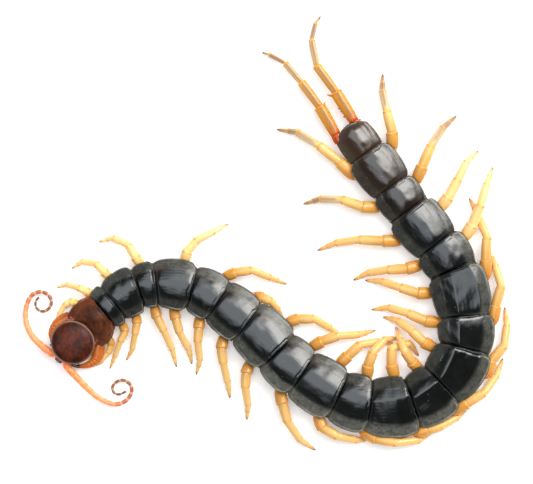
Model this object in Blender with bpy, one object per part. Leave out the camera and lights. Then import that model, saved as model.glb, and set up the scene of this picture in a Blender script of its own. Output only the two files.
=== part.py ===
"""A giant centipede, life size, lying in an S on the floor.

The animal rests with its belly and the tips of its legs on z = 0. Its back is drawn as one
smooth line from the head to the last plate, and everything grows from that line: the body
segments are lofted across it, the hips stand on the segments' sides, and each leg starts at
its hip. Sizes are in millimetres until a mesh is made, which is in metres.
"""

import math

import bmesh
import bpy
import numpy as np

NAME = "giant_centipede"
MM = 0.001
GAP = 0.3  # left between pieces that touch
PLAN_CENTRE = (-0.3, 0.3)  # middle of the whole plan, which becomes the origin

# The middle of the back seen from above, from the head's front edge to the last plate's end.
BACK_LINE = (
    (-54.1, -32.2),
    (-43.0, -20.0),
    (-33.7, -13.8),
    (-28.7, -12.6),
    (-19.6, -13.8),
    (-5.2, -22.8),
    (9.0, -36.1),
    (26.9, -44.4),
    (37.8, -43.9),
    (45.6, -38.9),
    (51.4, -29.6),
    (51.3, -20.3),
    (48.5, -9.4),
    (37.1, 6.2),
    (20.8, 28.3),
)
HEAD_LENGTH = 11.2
HEAD_WIDTH = 11.6

# Length and greatest width of each back plate, first to last. Long and short plates alternate,
# except that the seventh and the eighth are both long.
SEGMENTS = (
    (5.5, 13.5),
    (3.8, 12.0),
    (7.3, 13.0),
    (4.9, 12.2),
    (9.4, 13.4),
    (7.7, 13.2),
    (9.4, 14.0),
    (10.7, 15.1),
    (8.7, 14.8),
    (11.0, 15.4),
    (8.7, 15.2),
    (11.2, 16.2),
    (9.2, 15.6),
    (11.3, 15.7),
    (8.6, 15.0),
    (12.2, 15.4),
    (8.1, 14.3),
    (11.3, 14.3),
    (7.8, 12.6),
    (10.7, 13.0),
    (9.1, 10.6),
)
# The segments that share a body length, by their numbers.
BODY_LENGTHS = ((1,), *((number, number + 1) for number in range(2, 20, 2)), (20,), (21,))
HEIGHT_TO_WIDTH = 0.52

# Half of a body section, from the middle of the back to the belly: across as a share of the
# half width, up as a share of the height. The crease comes at 0.58 and the plate's rim at 1.
HALF_SECTION = (
    (0.00, 1.00),
    (0.32, 0.97),
    (0.58, 0.86),
    (0.93, 0.67),
    (1.00, 0.58),
    (0.80, 0.50),
    (0.68, 0.22),
    (0.52, 0.00),
)
# Width and height along a plate, as shares of its greatest, with the place from 0 to 1.
PLATE = (
    (0.0, 0.84, 0.88),
    (0.14, 0.93, 0.94),
    (0.40, 1.0, 0.98),
    (0.70, 1.0, 1.0),
    (0.92, 0.92, 1.0),
    (1.0, 0.86, 0.97),
)
FIRST_PLATE = (
    (0.0, 0.78, 0.76),
    (0.2, 0.94, 0.86),
    (0.50, 1.0, 0.94),
    (0.88, 0.95, 1.0),
    (1.0, 0.88, 0.97),
)
LAST_PLATE = (
    (0.0, 0.90, 0.92),
    (0.14, 0.98, 0.97),
    (0.40, 1.0, 1.02),
    (0.70, 0.96, 1.02),
    (0.86, 0.86, 0.98),
    (0.94, 0.76, 0.90),
)
PLATE_STEP = 0.25  # between one plate's rear edge and the next plate's front

NECK_REACH = 3.0  # of the first segment under the head
NECK_WIDTH = 6.0
NECK_TOP = 4.4
COLLAR_STEP = 0.45  # between the head's rear rim and the first plate's front edge

# Half of the head's section: across as a share of the half width, up as a share of its depth.
HEAD_SECTION = ((0.0, 1.0), (0.4, 0.96), (0.75, 0.80), (0.95, 0.55), (1.0, 0.38), (0.94, 0.15), (0.7, 0.0))
HEAD_RINGS = (-78, -58, -38, -20, 0, 18, 38, 58, 78)  # degrees round the plate, rear to front
HEAD_RIM_TOP = 5.3
HEAD_DOME = 1.5
# Underside of the head at places ahead of its middle: it rises over the neck and the feelers.
HEAD_UNDER = ((-5.6, 4.9), (-2.8, 4.9), (-1.0, 3.7), (2.4, 3.7), (3.8, 4.6), (5.6, 4.7))

OCELLUS_RADIUS = 0.32
# Four ocelli on each side of the head: ahead of the middle, out to the side, and up.
OCELLI = ((3.0, 4.25, 5.35), (3.75, 3.75, 5.35), (3.25, 4.55, 4.75), (4.1, 3.9, 4.75))

# Plate that carries the forcipules, under the head: ahead of the head's middle, half width,
# underside and top.
JAW_PLATE = (
    (-5.0, 2.8, 0.3, 3.0),
    (-1.0, 3.6, 0.3, 3.0),
    (1.4, 3.0, 0.3, 3.0),
    (3.0, 2.2, 0.4, 1.9),
    (5.2, 1.5, 0.6, 1.8),
    (6.5, 0.9, 1.0, 1.6),
)
JAW_CHAMFER = 0.3  # of the plate's thickness
FORCIPULE_START = (-4.2, 5.0, 1.9)  # ahead of the head's middle, out, up
FORCIPULE_REACH = 9.2
FORCIPULE_SPREAD = {"left": 2.8, "right": 1.6}
FORCIPULE_DROP = 0.3  # from root to point
FORCIPULE_SOCKET = 1.5  # radius
FORCIPULE_SOCKET_DEPTH = 3.0
FORCIPULE_RADII = (1.6, 1.7, 1.65, 1.5, 1.3, 1.05, 0.72, 0.4, 0.12)

# Each antenna: where it leaves the head, its first heading, and the arcs it is drawn with, as
# lengths and turns. Its joints narrow from base to tip.
ANTENNAE = {
    "left": (
        (4.6, 1.5),
        256,
        ((2.4, 55), (8.8, 9), (5.6, 24), (6.8, 84), (8.3, 182), (4.0, 132), (1.8, 10)),
    ),
    "right": (
        (4.6, -1.3),
        200,
        ((2.4, -54), (5.0, -12), (7.2, -36), (4.8, -44), (6.3, -107), (5.3, -114), (6.2, -178)),
    ),
}
ANTENNA_ARTICLES = 19
ANTENNA_RADII = ((0.0, 1.05), (0.5, 0.64), (1.0, 0.30))  # at places from 0 to 1
ANTENNA_HEIGHTS = (3.2, 1.3)  # near the head, and from ANTENNA_LEVEL of its length on
ANTENNA_ROOT_RISE = 0.35  # of its first point over the next
ANTENNA_LEVEL = 0.45
ANTENNA_TAPER = 0.25  # how much longer the first article is than the mean, as a share
ARTICLE_SWELLS = ((0.0, 0.82), (0.65, 1.0))  # place along an article, share of its radius
ANTENNA_SOCKET = 0.9  # radius
ANTENNA_SOCKET_DEPTH = 2.9

# The walking legs. A row holds the hip's place along its plate from 0 to 1, the leg's span from
# the plate's edge to the claw seen from above, and the headings of its four long joints:
# prefemur, femur, tibia and tarsus, in degrees anticlockwise from +X.
LEG_POSES = {
    "left": (
        (0.33, 10.2, -68, -113, -130, -156),
        (0.52, 12.7, -67, -117, -110, -113),
        (0.43, 12.2, -83, -100, -101, -119),
        (0.64, 16.9, -75, -63, -66, -77),
        (0.60, 15.2, -77, -74, -62, -78),
        (0.74, 14.9, -95, -94, -83, -105),
        (0.73, 16.2, -103, -82, -77, -82),
        (0.76, 15.0, -111, -93, -81, -95),
        (0.78, 18.9, -76, -74, -55, -34),
        (0.80, 17.1, -66, -29, -12, 6),
        (0.92, 20.0, -29, -10, 5, 32),
        (0.90, 14.8, 14, 17, 28, 38),
        (0.77, 19.2, 38, 30, 53, 69),
        (0.66, 18.8, 69, 50, 82, 96),
        (0.72, 19.6, 82, 73, 106, 111),
        (0.65, 21.2, 90, 87, 111, 117),
        (0.66, 19.8, 58, 69, 72, 69),
        (0.58, 18.0, 54, 62, 63, 43),
        (0.65, 20.3, 67, 67, 56, 41),
        (0.72, 19.5, 92, 104, 102, 88),
    ),
    "right": (
        (0.42, 8.1, 174, 214, 240, 246),
        (0.20, 9.5, 153, 157, 164, 201),
        (0.37, 11.6, 135, 135, 172, 215),
        (0.47, 14.0, 124, 122, 155, 197),
        (0.66, 15.5, 74, 48, 27, 28),
        (0.76, 17.0, 22, 8, -22, -22),
        (0.70, 9.5, -14, -21, -51, -60),
        (0.67, 16.0, 18, 0, -30, -34),
        (0.72, 17.4, 29, 19, 3, 13),
        (0.67, 16.5, 45, 42, 9, -11),
        (0.75, 15.0, 86, 70, 46, 0),
        (0.66, 16.5, 105, 90, 14, -55),
        (0.80, 12.1, 135, 125, 111, 107),
        (0.70, 15.5, 151, 137, 144, 166),
        (0.88, 18.0, 172, 156, 164, 188),
        (0.67, 17.4, 180, 162, 162, 176),
        (0.76, 17.8, 194, 183, 189, 208),
        (0.60, 21.6, 180, 177, 188, 203),
        (0.69, 19.8, 178, 160, 178, 197),
        (0.73, 23.8, 135, 141, 148, 172),
    ),
}
# Heights of the knee and the ankle where a leg steps over or under its neighbour.
STEPPING_LEGS = {
    ("left", 1): (1.5, 0.8),
    ("right", 1): (1.5, 0.8),
    ("left", 10): (3.0, 1.2),
    ("left", 11): (3.8, 1.8),
    ("left", 12): (2.8, 1.6),
    ("left", 14): (2.6, 1.6),
    ("left", 15): (2.6, 1.4),
    ("left", 16): (2.8, 1.0),
    ("left", 17): (4.2, 2.2),
    ("right", 8): (2.6, 1.0),
    ("right", 9): (4.0, 1.8),
    ("right", 10): (3.0, 1.0),
    ("right", 11): (4.2, 2.2),
    ("right", 12): (3.8, 1.9),
    ("right", 13): (5.2, 3.8),
    ("right", 20): (2.4, 1.4),
}
# Shares of the span, prefemur to tarsus, at the first and the twentieth pair.
LEG_SHARES = ((0.16, 0.23, 0.33, 0.28), (0.20, 0.29, 0.28, 0.23))
JOINT_END = 0.35  # from a joint to the widest place before it, and to the narrow place past it
JOINT_SWELLS = (1.08, 0.84, 0.62)  # far ends of prefemur, femur and tibia, to the leg's radius
JOINT_WAISTS = (None, 0.68, 0.50)  # near ends of the same
# Along the tarsus: place on the plan, place in height, radius.
TARSUS = ((0.1, 0.12, 0.40), (0.45, 0.62, 0.33), (0.78, 0.93, 0.24), (1.0, 1.0, 0.09))
TIP_HEIGHT = 0.1
LEG_RADIUS = (0.95, 1.35)  # of the prefemur, at the first and the twentieth pair
ROOT_SHARES = (0.85, 0.95)  # of the leg's radius, at its root and under the plate's edge
HIP_END = 0.82  # of the half width, where the hip's stub ends outside the flank
HIP_DEPTH = 3.5  # of the stub, most of it sunk in the flank
HIP_PULL = 1.4  # the hip's way is this much straight out, to one of the prefemur's way
LEG_CLEAR = 0.98  # of the half width, where the leg comes out from under the plate
# Heights of the hip, plate edge, knee joint and shin joint, as shares of the body's height.
LEG_HEIGHTS = (0.29, 0.29, 0.43, 0.42, 0.20)

# The last pair, trailed behind: headings and lengths of prefemur, femur, tibia and two tarsi.
LAST_LEGS = {
    "left": ((122, 9.0), (126, 8.4), (101, 6.9), (77, 4.5), (54, 2.4)),
    "right": ((120, 8.5), (127, 7.9), (130, 6.5), (151, 4.8), (164, 2.0)),
}
LAST_LEG_RADII = (1.5, 1.12, 0.86, 0.56, 0.34)
LAST_LEG_HEIGHTS = (2.5, 2.3, 1.7, 0.8, 0.25)  # far ends of the same
LAST_LEG_TIP = 0.1
LAST_HIP_HEIGHT = 2.6
LAST_HIP_DEPTH = 3.5
LAST_HIP_RADIUS = 1.35
LAST_HIP_PLACE = 0.97  # of the last plate's length
LAST_LEG_OUT = {"left": 2.3, "right": 3.6}
# Spines of a last prefemur: place along it, degrees round it from above towards the body.
LAST_SPINES = ((0.35, 60), (0.5, 100), (0.62, 75), (0.8, 50))

SPINE_ROOT = 0.6  # of the prefemur's radius, from its middle line
SPINE_END = 1.28
SPINE_LEAN = 0.5  # towards the far end
SPINE_RADII = (0.34, 0.09)

COLOURS = {
    "head": ((0.16, 0.035, 0.02), 0.30),
    "collar": ((0.20, 0.05, 0.028), 0.30),
    "trunk": ((0.02, 0.024, 0.024), 0.28),
    "tail": ((0.06, 0.038, 0.024), 0.32),
    "forcipule": ((0.55, 0.14, 0.02), 0.35),
    "antenna": ((0.65, 0.24, 0.10), 0.40),
    "leg": ((0.76, 0.42, 0.08), 0.35),
    "last_leg": ((0.42, 0.15, 0.03), 0.35),
}


def smooth_line(points, spacing=0.1):
    """Close points on one smooth curve through a few: each stretch is a cubic whose end slopes
    are the slopes of the line through the neighbours."""
    points = np.array(points, float)
    chord = np.concatenate([[0.0], np.cumsum(np.linalg.norm(np.diff(points, axis=0), axis=1))])
    slopes = np.gradient(points, chord, axis=0)
    t = np.arange(0.0, chord[-1], spacing)
    i = np.searchsorted(chord, t, side="right") - 1
    width = (chord[i + 1] - chord[i])[:, None]
    u = (t - chord[i])[:, None] / width
    return (
        (2 * u**3 - 3 * u**2 + 1) * points[i]
        + (u**3 - 2 * u**2 + u) * width * slopes[i]
        + (3 * u**2 - 2 * u**3) * points[i + 1]
        + (u**3 - u**2) * width * slopes[i + 1]
    )


class BackLine:
    """The middle of the back, walked by the distance from the head's front edge."""

    def __init__(self, points):
        self.points = smooth_line(points) - PLAN_CENTRE
        steps = np.linalg.norm(np.diff(self.points, axis=0), axis=1)
        self.along = np.concatenate([[0.0], np.cumsum(steps)])

    def place(self, s):
        """The point at a distance, by straight steps, and straight on past either end."""
        s_in = min(max(s, 0.0), self.along[-1])
        point = np.array([np.interp(s_in, self.along, self.points[:, k]) for k in (0, 1)])
        return point + (s - s_in) * self.tailward(s_in)

    def tailward(self, s):
        """Unit vector along the back towards the tail."""
        near = 0.5
        low, high = max(s - near, 0.0), min(s + near, self.along[-1])
        ends = [[np.interp(d, self.along, self.points[:, k]) for k in (0, 1)] for d in (low, high)]
        step = np.subtract(ends[1], ends[0])
        return step / np.linalg.norm(step)

    def left(self, s):
        """Unit vector towards the animal's left."""
        tail = self.tailward(s)
        return np.array([tail[1], -tail[0]])


BACK = BackLine(BACK_LINE)
PLATE_ENDS = HEAD_LENGTH + np.concatenate([[0.0], np.cumsum([length for length, _ in SEGMENTS])])
SIDES = {"left": 1, "right": -1}


def segment_size(number):
    """Where a segment starts on the back line, its length, half width and height."""
    length, width = SEGMENTS[number - 1]
    return PLATE_ENDS[number - 1], length, width / 2, width * HEIGHT_TO_WIDTH


def heading(degrees):
    """Unit vector on the plan at an angle from +X."""
    angle = math.radians(degrees)
    return np.array([math.cos(angle), math.sin(angle)])


def finish_of(kind, name):
    """A Principled BSDF of its own for a named piece."""
    colour, roughness = COLOURS[kind]
    material = bpy.data.materials.new(name)
    material.use_nodes = True
    shader = material.node_tree.nodes["Principled BSDF"]
    shader.inputs["Base Color"].default_value = (*colour, 1.0)
    shader.inputs["Roughness"].default_value = roughness
    shader.inputs["Metallic"].default_value = 0.0
    return material


def object_of(name, bm):
    """An object in the model's collection from a bmesh in metres, with its faces outwards."""
    bmesh.ops.recalc_face_normals(bm, faces=bm.faces)
    bmesh.ops.triangulate(bm, faces=bm.faces)
    mesh = bpy.data.meshes.new(name)
    bm.to_mesh(mesh)
    bm.free()
    piece = bpy.data.objects.new(name, mesh)
    MODEL.objects.link(piece)
    return piece


def loft(name, rings):
    """A closed surface through rings of equally many points in mm, with flat ends."""
    bm = bmesh.new()
    loops = [[bm.verts.new(np.array(point) * MM) for point in ring] for ring in rings]
    for first, second in zip(loops, loops[1:]):
        for k in range(len(first)):
            bm.faces.new((first[k - 1], first[k], second[k], second[k - 1]))
    bm.faces.new(loops[0])
    bm.faces.new(loops[-1])
    return object_of(name, bm)


def evaluated_mesh(piece):
    """The mesh of an object with its curve settings or modifiers worked out."""
    graph = bpy.context.evaluated_depsgraph_get()
    return bpy.data.meshes.new_from_object(piece.evaluated_get(graph))


def tube(name, path, radii, sides=6):
    """A rod of changing radius along a path of points in mm, with closed ends."""
    curve = bpy.data.curves.new(name, "CURVE")
    curve.dimensions = "3D"
    curve.bevel_depth = MM
    curve.bevel_resolution = sides // 2 - 2
    curve.use_fill_caps = True
    spline = curve.splines.new("POLY")
    spline.points.add(len(path) - 1)
    for point, place, radius in zip(spline.points, path, radii):
        point.co = (*(np.array(place) * MM), 1.0)
        point.radius = radius
    rod = bpy.data.objects.new(name, curve)
    MODEL.objects.link(rod)
    mesh = evaluated_mesh(rod)
    bpy.data.objects.remove(rod)
    bpy.data.curves.remove(curve)
    bm = bmesh.new()
    bm.from_mesh(mesh)
    bpy.data.meshes.remove(mesh)
    bmesh.ops.remove_doubles(bm, verts=bm.verts, dist=1e-6)
    return object_of(name, bm)


def keep_largest(mesh):
    """Leaves only the closed surface with the largest area."""
    bm = bmesh.new()
    bm.from_mesh(mesh)
    left, shells = set(bm.faces), []
    while left:
        shell, edge = set(), [left.pop()]
        while edge:
            face = edge.pop()
            shell.add(face)
            near = {other for line in face.edges for other in line.link_faces} & left
            left -= near
            edge.extend(near)
        shells.append(shell)
    shells.sort(key=lambda shell: sum(face.calc_area() for face in shell))
    spare = [face for shell in shells[:-1] for face in shell]
    bmesh.ops.delete(bm, geom=spare, context="FACES")
    bm.to_mesh(mesh)
    bm.free()


def unite(body, pieces):
    """Joins closed pieces to a body by one Boolean union, and removes them."""
    group = bpy.data.collections.new(f"{body.name}_pieces")
    bpy.context.scene.collection.children.link(group)
    for piece in pieces:
        MODEL.objects.unlink(piece)
        group.objects.link(piece)
    join = body.modifiers.new("Join", "BOOLEAN")
    join.operation = "UNION"
    join.solver = "EXACT"
    join.operand_type = "COLLECTION"
    join.collection = group
    mesh = evaluated_mesh(body)
    body.modifiers.clear()
    body.data = mesh
    for piece in pieces:
        bpy.data.objects.remove(piece)
    bpy.data.collections.remove(group)
    keep_largest(mesh)


def rest_on_floor(piece):
    """Cuts off what would pass below the floor, which leaves a small flat at z = 0."""
    bm = bmesh.new()
    bm.from_mesh(piece.data)
    bmesh.ops.bisect_plane(
        bm,
        geom=bm.verts[:] + bm.edges[:] + bm.faces[:],
        dist=1e-7,
        plane_co=(0, 0, 0),
        plane_no=(0, 0, 1),
        clear_inner=True,
    )
    rim = [edge for edge in bm.edges if edge.is_boundary]
    if rim:
        bmesh.ops.holes_fill(bm, edges=rim, sides=0)
    for vert in bm.verts:
        vert.co.z = max(vert.co.z, 0.0)
    bmesh.ops.recalc_face_normals(bm, faces=bm.faces)
    bm.to_mesh(piece.data)
    bm.free()


def dress(piece, name, kind):
    """Names a finished piece, gives it its material and shades it."""
    piece.name = name
    piece.data.name = name
    piece.data.materials.clear()
    piece.data.materials.append(finish_of(kind, name))
    piece.data.shade_smooth()
    piece.data.set_sharp_from_angle(angle=math.radians(40))


def body_ring(s, half_width, height, section=HALF_SECTION):
    """One section across the body at a distance along the back."""
    middle, left = BACK.place(s), BACK.left(s)
    across = [share for share, _ in section] + [-share for share, _ in reversed(section[1:])]
    up = [share for _, share in section] + [share for _, share in reversed(section[1:])]
    return [(*(middle + left * a * half_width), z * height) for a, z in zip(across, up)]


def segment_rings(number, front_trim, rear_trim):
    """Sections of one segment from front to rear, with its ends drawn in by the trims."""
    start, length, half_width, height = segment_size(number)
    profile = {1: FIRST_PLATE, len(SEGMENTS): LAST_PLATE}.get(number, PLATE)
    rings = []
    for place, width_share, height_share in profile:
        s = min(max(start + place * length, start + front_trim), start + length - rear_trim)
        rings.append(body_ring(s, half_width * width_share, height * height_share))
    return rings


def hip_frame(side, number):
    """A leg's hip on the plan: its middle, the way it points, and half the body's width there."""
    start, length, half_width, _ = segment_size(number)
    place, _, first, *_ = LEG_POSES[side][number - 1]
    s = start + place * length
    half_width *= float(np.interp(place, [row[0] for row in PLATE], [row[1] for row in PLATE]))
    out = SIDES[side] * BACK.left(s)
    way = HIP_PULL * out + heading(first)
    return BACK.place(s), out, way / np.linalg.norm(way), half_width


def leg_radius(number):
    """Radius of a prefemur, growing evenly from the first pair to the last walking pair."""
    return float(np.interp(number, (1, len(SEGMENTS) - 1), LEG_RADIUS))


def hip(side, number):
    """The stub on a segment's flank that a leg's first ring faces."""
    middle, out, way, half_width = hip_frame(side, number)
    height = LEG_HEIGHTS[0] * segment_size(number)[3]
    end = middle + out * half_width * HIP_END
    start = end - way * HIP_DEPTH
    radius = ROOT_SHARES[0] * leg_radius(number)
    return tube("hip", ((*start, height), (*end, height)), (radius, radius))


def leg_joints(side, number):
    """The middle line's joints from the hip to the claw, in mm."""
    middle, out, way, half_width = hip_frame(side, number)
    _, span, *headings = LEG_POSES[side][number - 1]
    root = middle + out * half_width * HIP_END + GAP * way
    edge = root + way * half_width * (LEG_CLEAR - HIP_END) / float(way @ out)
    plan = [root, edge]
    share_of = (number - 1) / (len(SEGMENTS) - 2)
    shares = (1 - share_of) * np.array(LEG_SHARES[0]) + share_of * np.array(LEG_SHARES[1])
    for share, angle in zip(shares, headings):
        plan.append(plan[-1] + span * share * heading(angle))
    heights = [share * segment_size(number)[3] for share in LEG_HEIGHTS] + [TIP_HEIGHT]
    if (side, number) in STEPPING_LEGS:
        heights[3], heights[4] = STEPPING_LEGS[side, number]
        heights[2] = (heights[1] + heights[3]) / 2
    return [np.array([*point, height]) for point, height in zip(plan, heights)]


def build_leg(side, number):
    """A walking leg: each joint swells to its far end, where the next starts narrower."""
    root, edge, *ends = leg_joints(side, number)
    radius = leg_radius(number)
    path, radii = [root, edge], [share * radius for share in ROOT_SHARES]
    starts = [edge, *ends]
    for first, last, waist, swell in zip(starts, ends[:-1], JOINT_WAISTS, JOINT_SWELLS):
        along = (last - first) / np.linalg.norm(last - first)
        if waist:
            path.append(first + JOINT_END * along)
            radii.append(waist * radius)
        path.append(last - JOINT_END * along)
        radii.append(swell * radius)
    ankle, tip = ends[-2], ends[-1]
    reach = tip - ankle
    for share, drop, width in TARSUS:
        path.append(ankle + reach * (share, share, drop))
        radii.append(width * radius)
    leg = tube("leg", path, radii)
    rest_on_floor(leg)
    dress(leg, f"leg_{side}_{number:02d}", "leg")


def last_leg_way(side):
    """Root of a last leg and the way it points, on the plan."""
    start, length, _, _ = segment_size(len(SEGMENTS))
    s = start + LAST_HIP_PLACE * length
    root = BACK.place(s) + SIDES[side] * BACK.left(s) * LAST_LEG_OUT[side]
    return root, heading(LAST_LEGS[side][0][0])


def build_last_leg(side):
    """A leg of the last pair, thick and trailed behind, with the spines of its prefemur."""
    root, way = last_leg_way(side)
    place = np.array([*(root + way * GAP), LAST_HIP_HEIGHT])
    path, radii = [place], [LAST_HIP_RADIUS]
    prefemur = None
    for (angle, length), radius, height in zip(LAST_LEGS[side], LAST_LEG_RADII, LAST_LEG_HEIGHTS):
        far = np.array([*(place[:2] + length * heading(angle)), height])
        along = (far - place) / np.linalg.norm(far - place)
        path.extend((place + 0.45 * along, place + 0.6 * (far - place), far - 0.4 * along))
        radii.extend((0.9 * radius, radius, 0.95 * radius))
        prefemur = prefemur or (place, far, along)
        place = far
    radii[-1] = LAST_LEG_TIP
    leg = tube("leg", path, radii, sides=8)
    unite(leg, [last_spine(side, prefemur, *spine) for spine in LAST_SPINES])
    rest_on_floor(leg)
    dress(leg, f"leg_{side}_{len(SEGMENTS)}", "last_leg")


def last_spine(side, prefemur, share, turn):
    """A short spine on the inner side of a last prefemur, leaning towards its far end."""
    near, far, along = prefemur
    inward = SIDES[side] * np.array([-along[1], along[0], 0.0])
    inward /= np.linalg.norm(inward)
    up = np.cross(along, inward) * SIDES[side]
    angle = math.radians(turn)
    out = math.cos(angle) * up + math.sin(angle) * inward
    foot = near + share * (far - near)
    start = foot + SPINE_ROOT * LAST_LEG_RADII[0] * out
    end = foot + SPINE_END * LAST_LEG_RADII[0] * out + SPINE_LEAN * along
    return tube("spine", (start, end), SPINE_RADII)


def head_place(ahead, out, up):
    """A point given ahead of the head's middle, towards its left, and up."""
    middle = HEAD_LENGTH / 2
    plan = BACK.place(middle) - ahead * BACK.tailward(middle) + out * BACK.left(middle)
    return np.array([*plan, up])


def head_ring(degrees):
    """One section across the round head plate, at an angle round it from its middle."""
    angle = math.radians(degrees)
    ahead = HEAD_LENGTH / 2 * math.sin(angle)
    half_width = HEAD_WIDTH / 2 * math.cos(angle)
    under = np.interp(ahead, *zip(*HEAD_UNDER))
    top = HEAD_RIM_TOP + HEAD_DOME * math.cos(angle) ** 0.6
    half = [(a * half_width, under + z * (top - under)) for a, z in HEAD_SECTION]
    whole = half + [(-a, z) for a, z in reversed(half[1:])]
    return [head_place(ahead, a, z) for a, z in whole]


def antenna_path(side):
    """Points along an antenna, three for each article, with their radii."""
    start, angle, arcs = ANTENNAE[side]
    place = head_place(*start, 0.0)[:2]
    fine, step = [place], 0.05
    for length, turn in arcs:
        count = round(length / step)
        for _ in range(count):
            angle += turn / count
            place = place + step * heading(angle)
            fine.append(place)
    fine = np.array(fine)
    share = np.linspace(0.0, 1.0, len(fine))
    # Articles shorten evenly towards the tip.
    bounds = np.linspace(0.0, 1.0, ANTENNA_ARTICLES + 1)
    bounds = (1 + ANTENNA_TAPER) * bounds - ANTENNA_TAPER * bounds**2
    path, radii = [], []
    for first, last in zip(bounds, bounds[1:]):
        for part, swell in ARTICLE_SWELLS:
            at = first + part * (last - first)
            path.append(at)
            radii.append(swell * np.interp(at, *zip(*ANTENNA_RADII)))
    path.append(1.0)
    radii.append(0.6 * ANTENNA_RADII[-1][1])
    path = np.array(path)
    droop = np.clip(path / ANTENNA_LEVEL, 0.0, 1.0)
    up = ANTENNA_HEIGHTS[0] + (ANTENNA_HEIGHTS[1] - ANTENNA_HEIGHTS[0]) * droop**2 * (3 - 2 * droop)
    up[0] += ANTENNA_ROOT_RISE
    plan = [np.interp(path, share, fine[:, k]) for k in (0, 1)]
    return np.column_stack([*plan, up]), radii


def build_antenna(side):
    """An antenna of beaded articles that ends in a flat coil."""
    path, radii = antenna_path(side)
    antenna = tube("antenna", path, radii)
    dress(antenna, f"antenna_{side}", "antenna")


def build_head():
    """The round head plate with its ocelli, the roots of the antennae and the lip."""
    head = loft("head", [head_ring(angle) for angle in HEAD_RINGS])
    pieces = []
    for side in SIDES.values():
        for ahead, out, up in OCELLI:
            bm = bmesh.new()
            bmesh.ops.create_icosphere(bm, subdivisions=1, radius=OCELLUS_RADIUS * MM)
            bmesh.ops.translate(bm, verts=bm.verts, vec=head_place(ahead, side * out, up) * MM)
            pieces.append(object_of("ocellus", bm))
    for name in ANTENNAE:
        path, _ = antenna_path(name)
        along = (path[1] - path[0]) / np.linalg.norm(path[1] - path[0])
        ends = (path[0] - ANTENNA_SOCKET_DEPTH * along, path[0] - GAP * along)
        pieces.append(tube("socket", ends, (ANTENNA_SOCKET, ANTENNA_SOCKET)))
    unite(head, pieces)
    dress(head, "head", "head")


def forcipule_point(side, share):
    """A point along a forcipule: it bows out beside the head and closes in below its front."""
    ahead, out, up = FORCIPULE_START
    bow = FORCIPULE_SPREAD[side] * math.sin(math.pi * share) - share
    out = SIDES[side] * (out + bow)
    return head_place(ahead + FORCIPULE_REACH * share, out, up - FORCIPULE_DROP * share)


def build_forcipule(side):
    """A poison claw, from the side of its plate to the point below the head's front."""
    shares = np.linspace(0.0, 1.0, len(FORCIPULE_RADII))
    claw = tube("claw", [forcipule_point(side, share) for share in shares], FORCIPULE_RADII, sides=8)
    dress(claw, f"forcipule_{side}", "forcipule")


def jaw_plate():
    """The flat plate under the head that carries the two forcipules, with its front teeth."""
    rings = []
    for ahead, out, low, high in JAW_PLATE:
        slope = JAW_CHAMFER * (high - low)
        right = ((out, low + slope), (out, high - slope), (out - slope, high))
        left = ((slope - out, high), (-out, high - slope), (-out, low + slope))
        below = ((slope - out, low), (out - slope, low))
        rings.append([head_place(ahead, a, z) for a, z in right + left + below])
    return loft("jaw_plate", rings)


def build_body_length(numbers):
    """One length of the body: its segments in a row, with the hips on their flanks."""
    rings = []
    for number in numbers:
        front = GAP / 2 if number == numbers[0] else PLATE_STEP
        front = COLLAR_STEP if number == 1 else front
        rear = GAP / 2 if number == numbers[-1] else 0.0
        rings.extend(segment_rings(number, front, rear))
    last = len(SEGMENTS)
    pieces = [hip(side, number) for number in numbers if number < last for side in SIDES]
    if numbers[0] == 1:
        ends = (HEAD_LENGTH - NECK_REACH, HEAD_LENGTH + COLLAR_STEP / 2)
        neck = [body_ring(s, NECK_WIDTH / 2, NECK_TOP) for s in ends]
        rings = neck + rings
        pieces.append(jaw_plate())
        for side in SIDES:
            root, ahead = forcipule_point(side, 0.0), forcipule_point(side, 0.03)
            along = (ahead - root) / np.linalg.norm(ahead - root)
            ends = (root - FORCIPULE_SOCKET_DEPTH * along, root - GAP * along)
            pieces.append(tube("socket", ends, (FORCIPULE_SOCKET, FORCIPULE_SOCKET), sides=8))
    if numbers[0] == last:
        for side in SIDES:
            root, way = last_leg_way(side)
            ends = [(*place, LAST_HIP_HEIGHT) for place in (root - LAST_HIP_DEPTH * way, root)]
            pieces.append(tube("hip", ends, (LAST_HIP_RADIUS, LAST_HIP_RADIUS), sides=8))
    length = loft("length", rings)
    unite(length, pieces)
    name = "segment_" + "_".join(f"{number:02d}" for number in numbers)
    kind = "collar" if numbers[0] == 1 else "tail" if numbers[0] >= last - 1 else "trunk"
    dress(length, name, kind)


for old in list(bpy.data.objects):
    bpy.data.objects.remove(old)
MODEL = bpy.data.collections.new(NAME)
bpy.context.scene.collection.children.link(MODEL)

build_head()
for body_numbers in BODY_LENGTHS:
    build_body_length(body_numbers)
for side_name in SIDES:
    build_antenna(side_name)
    build_forcipule(side_name)
    for leg_number in range(1, len(SEGMENTS)):
        build_leg(side_name, leg_number)
    build_last_leg(side_name)
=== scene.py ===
"""A giant centipede, life size, seen from straight above in soft studio light.

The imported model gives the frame. Every piece is a surface worked out with numpy from the same
named sizes as the solids: the back is one smooth line, plates and skin are laid across it, and
each limb is a changing profile carried along a path. Lengths are in millimetres until a mesh is
made, which is in metres.
"""

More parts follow.
